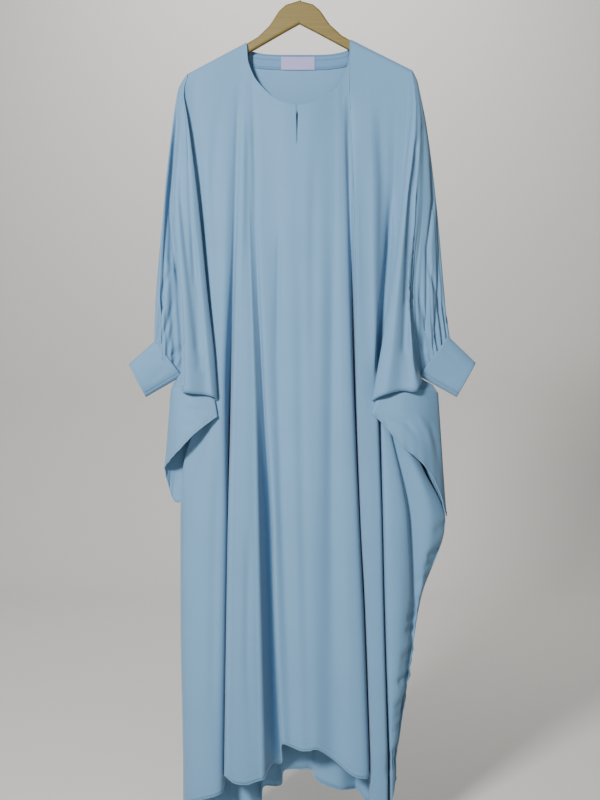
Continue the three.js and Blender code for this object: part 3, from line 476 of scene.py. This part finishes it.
# The panel's smaller folds, as on the front
for line, depth, width in (
    (((-170, 330), (-168, 650), (-180, 950)), -2.5, 8),
    (((-60, 260), (-58, 700), (-66, 1200), (-64, 1540)), -2.5, 10),
    (((0, 420), (4, 900), (-2, 1500)), -2.8, 12),
    (((46, 300), (50, 700), (56, 1100)), 2, 9),
    (((110, 400), (118, 800), (130, 1200), (120, 1540)), -2.5, 8),
    (((168, 1000), (164, 1300), (146, 1560)), 2.5, 8),
):
    back_grid = crease(back_grid, 1, line, depth, width, side=1)
back = cloth_shell("back_panel_cloth", back_grid, 1, SHELL, crepe)
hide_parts("back_panel")

# Sleeves
# The outer part of each half of the same cloth, folded down over the hanger's end into a tube.
# Each is gathered into its cuff, and the slack below rolls under in a soft lip.

SLEEVE_LEVELS = (216, 232, 300, 450, 625, 740, 825)
# Each fold: across and out at every level, the height of its end, and how far its end rolls under
LEFT_SLEEVE = (
    ((214.2, 218, 224, 209, 198, 194, 192), (12, 15, 21, 24, 25, 26, 26), 825, 0),
    ((214.8, 218.6, 221, 201, 184, 176, 172), (12, 16, 24, 28, 29, 30, 31), 823, 0),
    ((215.6, 220, 210, 191, 173, 160, 154), (11.8, 15.5, 25, 30, 33, 35, 36), 820, 0.2),
    ((217, 222.4, 215, 202, 181, 170, 162), (11, 14, 27, 37, 42, 47, 50), 812, 0.5),
    ((218, 224, 220, 212, 190, 178, 174), (9.5, 11.5, 24, 36, 42, 46, 48), 806, 0.8),
    ((219.5, 226, 226, 226, 215, 209, 207), (8.5, 10, 22, 38, 50, 56, 58), 800, 1),
    ((221, 228, 231, 239, 224, 219, 222), (7, 8, 17, 30, 44, 48, 46), 798, 0.8),
    ((222, 229, 234, 243, 228, 222, 236), (5.5, 6, 10, 12, 12, 7, -8), 776, 0),
    ((223, 230.5, 240, 255, 263, 261, 260), (3, 4, 12, 21, 27, 15, 8), 744, 0),
    ((223.5, 230.5, 239.5, 254, 273, 279, 284), (0, 0, 0, 0, 0, 0, 0), 711, 0),
    ((223, 230, 237, 249, 252, 253, 256), (-3, -3.5, -9, -16, -22, -13.5, -8), 744, 0),
    ((221, 228, 229, 238, 232, 222, 236), (-6, -8, -16, -25, -30, -14, 8), 776, 0),
    ((218, 224, 221, 222, 214, 213, 212), (-9, -11, -20, -30, -36, -38, -38), 806, 0),
)
RIGHT_SLEEVE = (
    ((214.2, 216, 221, 205, 191, 181, 176), (12, 14, 18.5, 19.5, 21, 24, 26), 825, 0),
    ((214.2, 216.6, 216, 195, 175, 160, 150), (11.4, 13.6, 20, 22, 26, 29, 31), 823, 0),
    ((214.5, 217, 210, 191, 169, 149, 134), (11, 12.5, 21, 29, 34, 38, 40), 822, 0.2),
    ((216, 218.5, 216, 199, 180, 168, 154), (10.5, 12, 25, 40, 48, 54, 56), 808, 0.6),
    ((217.5, 220, 221, 208, 197, 192, 188), (9.5, 11, 22, 33, 40, 46, 50), 797, 0.9),
    ((219, 222, 226, 215, 203, 208, 220), (8.5, 9.5, 20, 35, 43, 50, 54), 797, 1),
    ((220.5, 224, 230, 222, 206, 212, 250), (7, 7.5, 15, 28, 38, 38, 30), 784, 0.5),
    ((221.5, 225, 233, 229, 214, 222, 246), (5, 6, 12, 22, 29, 14, -8), 775, 0),
    ((222.5, 226, 237, 247, 249, 258, 266), (3, 3.5, 8, 15, 21, 13, 8), 740, 0),
    ((223, 226.5, 240, 259, 275, 288, 296), (0, 0, 0, 0, 0, 0, 0), 703, 0),
    ((222.5, 226, 237, 247, 249, 258, 266), (-3, -3.5, -9, -16, -22, -13, -8), 740, 0),
    ((220.5, 224, 229, 238, 232, 222, 246), (-6, -8, -16, -25, -30, -14, 8), 775, 0),
    ((217, 220, 221, 222, 214, 213, 212), (-9, -11, -20, -30, -36, -38, -38), 806, 0),
)
# The fold that lies outermost, and the first and last strips between folds that are gathered
OUTER_FOLD, FIRST_GATHER, LAST_GATHER = 9, 7, 12
HEAD = SLEEVE_HEAD + 0.8
LIP_ROLL, LIP_TURN, LIP_ROWS, PLAIN_END = 8, 150, 8, 10
PLAIN_SPLITS, GATHER_SPLITS = 8, 26
SLEEVE_ROWS, HEAD_CROWDING = 116, 1.3


def sleeve_grid(folds, hand):
    """Points of a sleeve from the hanger's arm to its lip, from its front edge round to the back."""
    heads = len(folds)

    def head_angle(i):
        if i <= OUTER_FOLD:
            return 90 * (1 - (i + 1) / (OUTER_FOLD + 1))
        return -90 * ((i - OUTER_FOLD) / (heads - OUTER_FOLD))

    def fold_point(i, share, turn):
        across, out, end, curl = folds[i]
        head = on_arm(hand * HEAD, head_angle(i))
        if share == 0:
            return head
        reach = end - PLAIN_END * (1 - curl)
        down = mix(-head[2], reach, share) + PLAIN_END * (1 - curl) * turn
        levels = (-head[2], *(max(level, 2 - head[2]) for level in SLEEVE_LEVELS))
        roll = math.radians(LIP_TURN * turn)
        return place(hand * along(levels, (HEAD, *across), down),
                     along(levels, (-head[1], *out), down) - curl * LIP_ROLL * (1 - math.cos(roll)),
                     down + curl * LIP_ROLL * math.sin(roll))

    def edge_point(side, share, turn):
        if share == 0:
            return on_arm(hand * HEAD, 90 if side == "front" else -90)
        start = shoulder_down(hand * SLEEVE_HEAD) + ARM_ROLL
        return edge_at(side, hand, mix(start, UPPER_END, share) + (SIDE_START - UPPER_END) * turn)

    def split(i):
        return GATHER_SPLITS if FIRST_GATHER <= i <= LAST_GATHER else PLAIN_SPLITS

    steps = [((k / SLEEVE_ROWS) ** HEAD_CROWDING, 0) for k in range(SLEEVE_ROWS + 1)]
    steps += [(1, k / LIP_ROWS) for k in range(1, LIP_ROWS + 1)]
    grid = []
    for share, turn in steps:
        points = [fold_point(i, share, turn) for i in range(heads)]
        points = [edge_point("front", share, turn), *points, edge_point("back", share, turn)]
        before = points[0] + (-hand * 10, 2, 0)
        after = points[-1] + (-hand * 15, 3, 0)
        grid.append(across_folds(points, before, after, split))
    return np.array(grid)


# Small pleats above the cuff: their shares of the seam, their depth, and their widths over their spread
PLEATS = (3, 4, 2.5, 3.5, 4, 3, 2.5, 4, 3, 3.5, 2.5, 4, 3.5, 3, 4, 2.5, 3, 4, 2.5, 3.5, 3, 4)
PLEAT_DEPTH, PLEAT_SPREAD = 3.5, 3.1
# How far up the sleeve the pleats reach: the least, and what is added in four steps
PLEAT_REACH, PLEAT_REACH_MORE = 0.2, 0.3


def gathered(grid, outward, first, last):
    """Adds uneven pleats between two columns, which run up from the cuff's seam and die out."""
    widths = np.array(PLEATS) / sum(PLEATS)
    centres = first + (last - first) * (np.cumsum(PLEATS) / sum(PLEATS) - widths / 2)
    spread = (last - first) * widths / PLEAT_SPREAD
    rows = grid.shape[0]
    lift = np.zeros(grid.shape[:2])
    for k, (centre, wide) in enumerate(zip(centres, spread)):
        reach = PLEAT_REACH + PLEAT_REACH_MORE * ((k * 3) % 5) / 4
        along_rows = np.clip((np.arange(rows) / SLEEVE_ROWS - (1 - reach)) / reach, 0, 1) ** 1.2
        across = np.exp(-((np.arange(grid.shape[1]) - centre) / wide) ** 2)
        lift -= PLEAT_DEPTH * (0.7 + 0.3 * ((k * 2) % 3)) * along_rows[:, None] * across[None, :]
    return grid + normals_of(grid, outward) * lift[..., None]


# Longer creases that fan out from the cuff's seam
GATHER_DEPTH, GATHER_WIDTH = -3.6, 4
GATHERS = {
    -1: (((-272, 713), (-262, 650), (-255, 610), (-237, 553)),
         ((-266, 722), (-256, 696), (-246, 669), (-236, 621)),
         ((-251, 739), (-244, 703), (-240, 668)),
         ((-250, 743), (-237, 732), (-216, 716)),
         ((-241, 753), (-230, 737), (-214, 716)),
         ((-235, 762), (-223, 749), (-212, 738))),
    1: (((272, 722), (260, 625), (245, 576), (234, 509)),
        ((264, 726), (253, 684), (243, 663)),
        ((245, 739), (230, 702), (220, 668)),
        ((240, 690), (227, 640), (223, 600)),
        ((232, 724), (224, 704), (217, 680)),
        ((285, 712), (272, 655), (262, 600))),
}
# First the line where the flat column stands out from the gathers, then the soft folds above
EDGE_CREASES = {
    -1: ((((-235, 500), (-232, 576), (-225, 614), (-221, 663), (-219, 703), (-219, 790)), -9, 3.4),
         (((-226, 330), (-223, 441), (-212, 536), (-200, 631), (-189, 726)), -4, 6),
         (((-226, 250), (-236, 346), (-240, 441), (-243, 560)), -4, 5),
         (((-232, 300), (-246, 441), (-254, 560), (-258, 650)), -4.5, 4),
         (((-216, 250), (-206, 441), (-196, 600)), -3.5, 4),
         (((-202, 480), (-192, 620), (-186, 760)), -3, 6)),
    1: ((((217, 500), (214, 560), (210, 610), (203, 660), (198, 710), (203, 785)), -2.5, 6),
        (((222, 330), (208, 441), (203, 536), (199, 631), (194, 726)), -4, 6),
        (((234, 289), (219, 346), (218, 441), (207, 536), (199, 640)), -4, 5),
        (((246, 330), (253, 441), (240, 536), (239, 631), (234, 720)), -5, 4),
        (((258, 420), (264, 536), (261, 631), (252, 722)), -3, 4)),
}
for hand, folds, name in ((-1, LEFT_SLEEVE, "left_sleeve"), (1, RIGHT_SLEEVE, "right_sleeve")):
    outward = -hand
    seam_start = FIRST_GATHER * PLAIN_SPLITS
    seam_end = seam_start + (LAST_GATHER - FIRST_GATHER + 1) * GATHER_SPLITS
    grid = gathered(sleeve_grid(folds, hand), outward, seam_start + 6, seam_end - 2)
    for k, line in enumerate(GATHERS[hand]):
        for side in (-1, 1):
            depth = GATHER_DEPTH + 0.4 * (k % 3)
            grid = crease(grid, outward, line, depth, GATHER_WIDTH, side=side, fade=(0.6, 0.1))
    for line, depth, width in EDGE_CREASES[hand]:
        grid = crease(grid, outward, line, depth, width, fade=(0, 1))
    sleeve = cloth_shell(name + "_cloth", grid, outward, SHELL, crepe)
    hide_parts(name)

# Wings
# The hanging lower corner of each half, which on the wearer falls in a point below the elbow.
# It starts behind the sleeve's lip, wraps round the side and ends in a narrow machine-sewn hem.

# Each fold: across, out and down, where it hides behind the sleeve's lip, under the lip and at its edge
LEFT_WING = (
    ((166, 165, 162), (20, 23, 26), (818, 829, 850)),
    ((160, 158, 154), (31, 34, 36), (818, 829, 850)),
    ((175, 174, 167), (30, 36, 42), (798, 818, 860)),
    ((200, 200, 197), (20, 37, 46), (782, 811, 884)),
    ((225, 227, 226), (8, 27, 40), (770, 804, 914)),
    ((235, 240, 246), (2, 16, 22), (783, 800, 935)),
    ((240, 245, 256), (-3, 2, 4), (789, 803, 950)),
    ((236, 240, 250), (-13, -14, -8), (796, 806, 984)),
    ((221, 222, 238), (-27, -28, -8), (816, 822, 1014)),
)
RIGHT_WING = (
    ((150, 148, 143), (20, 23, 26), (820, 831, 846)),
    ((142, 140, 134), (32, 35, 37), (820, 831, 844)),
    ((161, 160, 157), (31, 37, 42), (800, 820, 867)),
    ((190, 190, 190), (20, 38, 48), (780, 811, 906)),
    ((218, 217, 222), (8, 32, 46), (772, 802, 932)),
    ((236, 242, 256), (2, 20, 30), (784, 802, 978)),
    ((252, 262, 277), (-3, 2, 5), (792, 808, 1040)),
    ((246, 256, 278), (-13, -14, 0), (798, 810, 1036)),
    ((222, 224, 275), (-27, -28, -4), (816, 822, 1026)),
)
# The parts of the panel's side edge that the wing's seam and its hidden top follow
WING_SEAM, HIDDEN_SEAM = 3 / 12, 0.004
WING_ROWS, HIDDEN_ROWS, WING_SPLITS = 44, 12, 12
# Each crease: line, depth and width
WING_CREASES = {
    -1: ((((-170, 845), (-205, 838), (-232, 832)), -2.2, 6),
         (((-188, 870), (-216, 866), (-240, 880)), -1.8, 6)),
    1: ((((158, 850), (196, 862), (232, 905)), -2.2, 6),
        (((240, 850), (256, 900), (266, 970)), -2, 6),
        (((214, 840), (238, 880), (250, 930)), 1.8, 6)),
}
WING_RIPPLE = 0.55


def wing_grid(folds, hand):
    """Points of a wing from behind the sleeve's lip to its hem, from the front round to the back."""
    grid = []
    for j in range(-HIDDEN_ROWS, WING_ROWS + 1):
        t = j / HIDDEN_ROWS if j < 0 else j / WING_ROWS
        points = []
        for fold in folds:
            x, out, down = (mix(lip, hidden, -t) if t < 0 else mix(lip, foot, t)
                            for hidden, lip, foot in fold)
            points.append(place(hand * x, out, down))
        seam_share = t * (WING_SEAM if t > 0 else HIDDEN_SEAM)
        seam = edge_at("back", hand, mix(SIDE_START, EDGES["back", hand][2], seam_share))
        points.append(seam)
        before = points[0] + (-hand * 12, 2, 0)
        after = 2 * seam - tuck_guide("back", hand, seam)
        grid.append(across_folds(points, before, after, lambda i: WING_SPLITS))
    return np.array(grid)


wing_grids = {}
for hand, folds, name in ((-1, LEFT_WING, "left_wing"), (1, RIGHT_WING, "right_wing")):
    grid = wing_grid(folds, hand)
    outward = -hand
    for line, depth, width in WING_CREASES[hand]:
        grid = crease(grid, outward, line, depth, width)
    # The sewn edge puckers a little
    rows, columns = grid.shape[:2]
    near_edge = (np.arange(rows) / (rows - 1)) ** 8
    ripple = np.sin(np.arange(columns) * 0.9) + 0.6 * np.sin(np.arange(columns) * 0.37 + 1)
    lift = WING_RIPPLE * near_edge[:, None] * ripple[None, :]
    grid = grid + normals_of(grid, outward) * lift[..., None]
    wing_grids[hand] = grid
    wing = cloth_shell(name + "_cloth", grid, outward, SHELL, crepe)
    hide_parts(name)

# Cuffs
# Each is a folded band of interfaced crepe, fastened at the lower edge where one end laps the other.
# The band stands flat and stiffer than the sleeve, and its edges are pressed.

# Each band's corners: at the seam, top and foot, and at the open end, top and foot
CUFFS = {
    -1: ((-277, 711), (-229.5, 776), (-324, 753), (-293.5, 813)),
    1: ((284, 703), (232, 776), (333, 750.5), (298, 813)),
}
# Half the band's thickness, the lap in degrees, and how far each lapped layer stands off the middle
CUFF_HALF_THICK, CUFF_LAP, CUFF_LAYERS = 13, 30, 2.2
# How square the folded band is, and the share of its length that runs up inside the sleeve
CUFF_POWER, CUFF_HIDDEN, CUFF_SHELL = 0.8, 0.07, 1.6
CUFF_COLUMNS, CUFF_ROWS = 150, 26
# Each crease: line, depth and width
CUFF_CREASES = {
    -1: ((((-262, 726), (-283, 742), (-300, 752)), -0.8, 7),
         (((-248, 756), (-272, 776), (-296, 790)), -1.0, 7)),
    1: ((((268, 722), (290, 742), (310, 752)), -0.8, 7),
        (((252, 758), (276, 778), (302, 790)), -1.0, 7)),
}


def cuff_grid(hand):
    """Points of a cuff from inside the sleeve to its open end, wound once round past its own start."""
    seam_top, seam_foot, open_top, open_foot = (place(x, 0, down) for x, down in CUFFS[hand])
    grid = []
    for j in range(CUFF_ROWS + 1):
        t = mix(-CUFF_HIDDEN, 1, j / CUFF_ROWS)
        top, foot = mix(seam_top, open_top, t), mix(seam_foot, open_foot, t)
        centre = (top + foot) / 2
        half = foot - centre
        long = np.linalg.norm(half)
        row = []
        for i in range(CUFF_COLUMNS + 1):
            turn = i / CUFF_COLUMNS
            angle = math.radians(mix(-CUFF_LAP, 360 + CUFF_LAP * 1.2, turn))
            layer = mix(-CUFF_LAYERS, CUFF_LAYERS, turn)
            lengthwise, through = (math.copysign(abs(v) ** CUFF_POWER, v)
                                   for v in (math.cos(angle), math.sin(angle)))
            row.append(centre + half * lengthwise * (1 + layer / long)
                       + np.array((0, -1, 0)) * through * (CUFF_HALF_THICK + layer))
        grid.append(row)
    return np.array(grid)


cuff_crepe = crepe_material("interfaced_crepe", "6088a8")
cuff_grids = {}
for hand, name in ((-1, "left_cuff"), (1, "right_cuff")):
    grid = cuff_grid(hand)
    outward = -hand
    for line, depth, width in CUFF_CREASES[hand]:
        grid = crease(grid, outward, line, depth, width)
    cuff_grids[hand] = grid
    cuff = cloth_shell(name + "_cloth", grid, outward, CUFF_SHELL, cuff_crepe)
    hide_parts(name)

# Neck facing
# A band of the same crepe, about 30 mm deep, laid inside the back neck and topstitched in three rows.
# It is coloured a little darker than the lit front: painted shade for its place inside the back neck.

# A darker copy of the same crepe; the darker tone is painted shade inside the back neck
shaded_facing_crepe = crepe_material("shaded_facing_crepe", "587fa2")
FACING_DEPTH, FACING_ACROSS, FACING_GAP = 31, 94, 0.7
columns = [i for i in range(back_grid.shape[1]) if abs(back_grid[0, i, 0]) < FACING_ACROSS]
middle = columns[len(columns) // 2]
depth_rows = [j for j in range(back_grid.shape[0])
              if back_grid[0, middle, 2] - back_grid[j, middle, 2] < FACING_DEPTH]
band = slice(depth_rows[0], depth_rows[-1] + 1), slice(columns[0], columns[-1] + 1)
back_normals = normals_of(back_grid, 1)
facing_grid = back_grid[band] - back_normals[band] * (SHELL / 2 + FACING_GAP)
facing = cloth_shell("neck_facing_cloth", facing_grid, 1, SHELL, shaded_facing_crepe)
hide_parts("neck_facing")

# Seams and stitches
# Polyester thread in rows of 3 mm stitches: on the facing, the hems, the wings and the cuffs.
# The thread is a shade darker than the cloth and only shows as small raised dashes.

thread = new_material("blue_polyester_thread", {
    "Base Color": linear("3f5d78"), "Roughness": 0.55, "IOR": 1.5})[0]
# Where the facing's rows lie down its depth, how far they stand off, and their thread's radius
FACING_ROWS, FACING_LIFT, FACING_THREAD = (0.12, 0.42, 0.9), 0.5, 0.48
# How far the other rows lie above their edges, and how far they stand off the cloth's middle
HEM_DEPTH, EDGE_DEPTH, CLOTH_LIFT, CUFF_LIFT = 13, 5, SHELL / 2, 0.85


def add_roll(verts, faces, rings, sides):
    """Adds a closed round roll through rings of (centre, side, up, radius)."""
    base = len(verts)
    for centre, side, up, radius in rings:
        for k in range(sides):
            angle = 2 * math.pi * k / sides
            verts.append(centre + (side * math.cos(angle) + up * math.sin(angle)) * radius)
    for j in range(len(rings) - 1):
        for k in range(sides):
            a, b = base + j * sides + k, base + j * sides + (k + 1) % sides
            faces.append([a, b, b + sides, a + sides])
    faces.append([base + k for k in range(sides)][::-1])
    faces.append([base + (len(rings) - 1) * sides + k for k in range(sides)])


def stitches(name, path, lift, long=2.4, gap=0.9, radius=0.22):
    """Raised dashes along a path of (point, outward direction)."""
    points = np.array([p + n * lift for p, n in path])
    outs = np.array([n for _, n in path])
    lengths = np.concatenate([[0], np.cumsum(np.linalg.norm(np.diff(points, axis=0), axis=1))])

    def at(s):
        return np.array([np.interp(s, lengths, points[:, k]) for k in range(3)])

    verts, faces = [], []
    s = gap
    while s + long < lengths[-1]:
        a, b = at(s), at(s + long)
        out = outs[min(int(np.searchsorted(lengths, s)), len(outs) - 1)]
        way = (b - a) / max(np.linalg.norm(b - a), 1e-9)
        side = np.cross(way, out)
        # A stitch is full in the middle and tapers to its ends
        ends = ((a, 0.35), (mix(a, b, 0.25), 1), (mix(a, b, 0.75), 1), (b, 0.35))
        add_roll(verts, faces, [(point, side, out, radius * scale) for point, scale in ends], 5)
        s += long + gap
    return new_object(name, verts, faces, thread)


def edge_offset(grid, distance):
    """The row of points that distance (in millimetres) above a grid's last row."""
    rows = []
    for i in range(grid.shape[1]):
        column = grid[::-1, i]
        lengths = np.concatenate([[0], np.cumsum(np.linalg.norm(np.diff(column, axis=0), axis=1))])
        rows.append([np.interp(distance, lengths, column[:, k]) for k in range(3)])
    return np.array(rows)


facing_normals = normals_of(facing_grid, 1)
for k, share in enumerate(FACING_ROWS):
    j = round(share * (facing_grid.shape[0] - 1))
    path = list(zip(facing_grid[j], -facing_normals[j]))
    stitches(f"facing_stitches_{k + 1}", path, FACING_LIFT, radius=FACING_THREAD)
for name, grid, outward, distance, lift in (
    ("front_hem", front_grid, -1, HEM_DEPTH, CLOTH_LIFT),
    ("back_hem", back_grid, 1, HEM_DEPTH, CLOTH_LIFT),
    ("left_wing_hem", wing_grids[-1], 1, EDGE_DEPTH, CLOTH_LIFT),
    ("right_wing_hem", wing_grids[1], -1, EDGE_DEPTH, CLOTH_LIFT),
    ("left_cuff_edge", cuff_grids[-1], 1, EDGE_DEPTH, CUFF_LIFT),
    ("right_cuff_edge", cuff_grids[1], -1, EDGE_DEPTH, CUFF_LIFT),
):
    path = list(zip(edge_offset(grid, distance), normals_of(grid, outward)[-2]))
    stitches(name + "_stitches", path, lift)


def tube(name, points, radius, material, sides=6):
    """A thin round roll along a path."""
    points = np.array(points)
    ways = np.gradient(points, axis=0)
    ways /= np.maximum(np.linalg.norm(ways, axis=1, keepdims=True), 1e-9)
    lead = np.array((0.05, 1, 0.02))
    rings = []
    for point, way in zip(points, ways):
        side = np.cross(way, lead)
        side /= np.linalg.norm(side)
        rings.append((point, side, np.cross(side, way), radius))
    verts, faces = [], []
    add_roll(verts, faces, rings, sides)
    return new_object(name, verts, faces, material)


# The turned edges of the hems, the wings and the neck are a little thicker than the cloth
HEM_ROLL, NECK_ROLL = 1.2, 0.9
for name, grid in (("front_hem_roll", front_grid), ("back_hem_roll", back_grid),
                   ("left_wing_roll", wing_grids[-1]), ("right_wing_roll", wing_grids[1])):
    tube(name, grid[-1], HEM_ROLL, crepe)
neck_columns = [i for i in range(front_grid.shape[1]) if neck_down(front_grid[0, i, 0], "front") is not None
                and abs(front_grid[0, i, 0] - SLIT["x"]) > 1]
for side_name, chosen in (("left", [i for i in neck_columns if front_grid[0, i, 0] < SLIT["x"]]),
                          ("right", [i for i in neck_columns if front_grid[0, i, 0] > SLIT["x"]])):
    tube(f"neck_roll_{side_name}", front_grid[0, chosen], NECK_ROLL, crepe)

# Hanger
# A flat adult hanger sawn from pale beech, sanded and lacquered, with rounded edges.
# Its grain runs along the board, and the lacquer gives a low satin gloss.

wood, wood_tree, wood_shader = new_material("lacquered_beech", {
    "Roughness": 0.5, "IOR": 1.5, "Coat Weight": 0.06, "Coat Roughness": 0.35})
where = add_node(wood_tree, "ShaderNodeTexCoord").outputs["Object"]
# Grain lines lie about 3 mm apart and run the hanger's length
stretch = add_node(wood_tree, "ShaderNodeMapping", {"Scale": (9, 160, 320)}, [(where, "Vector")])
grain = add_node(wood_tree, "ShaderNodeTexNoise", {"Scale": 1, "Detail": 4, "Roughness": 0.6},
                 [(stretch.outputs[0], "Vector")])
tones = add_node(wood_tree, "ShaderNodeValToRGB", (), [(grain.outputs[0], "Fac")])
tones.color_ramp.elements[0].position, tones.color_ramp.elements[1].position = 0.35, 0.66
tones.color_ramp.elements[0].color = linear("66561f")
tones.color_ramp.elements[1].color = linear("736228")
wood_tree.links.new(tones.outputs["Color"], wood_shader.inputs["Base Color"])
wood_bump = add_node(wood_tree, "ShaderNodeBump", {"Strength": 0.1, "Distance": 0.0003},
                     [(grain.outputs[0], "Height")])
wood_tree.links.new(wood_bump.outputs["Normal"], wood_shader.inputs["Normal"])

# The hook is plain bright steel wire, with a slightly drawn surface that blurs its reflections
steel = new_material("drawn_steel_wire", {
    "Base Color": linear("c4c5c6"), "Metallic": 1, "Roughness": 0.28})[0]

# Neck label
# A blank woven tape, sewn to the facing; its satin weave is brighter than the crepe round it.

tape, tape_tree, tape_shader = new_material("woven_satin_tape", {
    "Base Color": linear("8f8bb4"), "Roughness": 0.5, "Sheen Weight": 0.3})
where = add_node(tape_tree, "ShaderNodeTexCoord").outputs["Object"]
# Ribs of the tape's weave, drawn 2 mm apart
ribs = add_node(tape_tree, "ShaderNodeTexWave", {"Scale": 160, "bands_direction": "Z"}, [(where, "Vector")])
tape_bump = add_node(tape_tree, "ShaderNodeBump", {"Strength": 0.15, "Distance": 0.0002},
                     [(ribs.outputs[0], "Height")])
tape_tree.links.new(tape_bump.outputs["Normal"], tape_shader.inputs["Normal"])

for node, material in (("hanger_body", wood), ("hanger_hook", steel), ("neck_label", tape)):
    for part_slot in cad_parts[node].material_slots:
        part_slot.link = "OBJECT"
        part_slot.material = material

# Floor and backdrop
# A pale studio sweep: floor below the hem, rising in a curve to a wall well behind the garment.

sweep_paint = new_material("matt_wall_paint", {
    "Base Color": linear("cfcdc8"), "Roughness": 0.9})[0]
FLOOR_FRONT, CURVE_START, FLOOR, CURVE, WALL_TOP = -6000, 2600, -1680, 900, 4200
profile = [(FLOOR_FRONT, FLOOR), (CURVE_START, FLOOR)]
profile += [(CURVE_START + CURVE * math.sin(a), FLOOR + CURVE * (1 - math.cos(a)))
            for a in np.linspace(0.1, math.pi / 2, 14)]
profile += [(CURVE_START + CURVE, WALL_TOP)]
sweep_mesh = bpy.data.meshes.new("studio_sweep")
sweep_mesh.from_pydata([(x, y * MM, z * MM) for y, z in profile for x in (-7, 7)], [],
                       [[2 * k, 2 * k + 1, 2 * k + 3, 2 * k + 2] for k in range(len(profile) - 1)])
sweep_mesh.materials.append(sweep_paint)
sweep_mesh.polygons.foreach_set("use_smooth", [True] * len(sweep_mesh.polygons))
sweep = bpy.data.objects.new("studio_sweep", sweep_mesh)
bpy.context.collection.objects.link(sweep)

# Light and camera
# Soft daylight from a window at the left front, with weak light from the room at the right.
# A third light is for the backdrop alone; places and sizes are in metres, power is in watts.

world = bpy.data.worlds.new("room_light")
bpy.context.scene.world = world
world.use_nodes = True
world.node_tree.nodes["Background"].inputs["Color"].default_value = linear("e6e8ea")
world.node_tree.nodes["Background"].inputs["Strength"].default_value = 0.11


def soft_light(name, position, aim, size, power):
    lamp = bpy.data.lights.new(name, "AREA")
    lamp.shape, lamp.size, lamp.energy = "SQUARE", size, power
    lamp_object = bpy.data.objects.new(name, lamp)
    bpy.context.collection.objects.link(lamp_object)
    lamp_object.location = position
    way = np.array(aim) - np.array(position)
    lamp_object.rotation_euler = (
        math.atan2(math.hypot(way[0], way[1]), -way[2]), 0, math.atan2(way[0], -way[1]) + math.pi)


soft_light("window", (-1.25, -2.4, 0.3), (0, 0, -0.85), 0.45, 148)
soft_light("room", (0.9, -3.2, 0.0), (0, 0, -0.8), 1.2, 15)
soft_light("wall_light", (0, 1.7, 1.9), (0, 3.5, -0.8), 2.4, 92)

camera = bpy.data.objects.new("camera", bpy.data.cameras.new("camera"))
bpy.context.collection.objects.link(camera)
bpy.context.scene.camera = camera
# The photo covers 1.52 m from top to bottom at the middle plane
CAMERA_AWAY, CAMERA_HEIGHT, PHOTO_COVERS, SENSOR = 2.0, -0.821, 1.52, 36
camera.location = (0, -CAMERA_AWAY, CAMERA_HEIGHT)
camera.rotation_euler = (math.pi / 2, 0, 0)
camera.data.sensor_width = SENSOR
camera.data.sensor_fit = "AUTO"
camera.data.lens = SENSOR * CAMERA_AWAY / PHOTO_COVERS
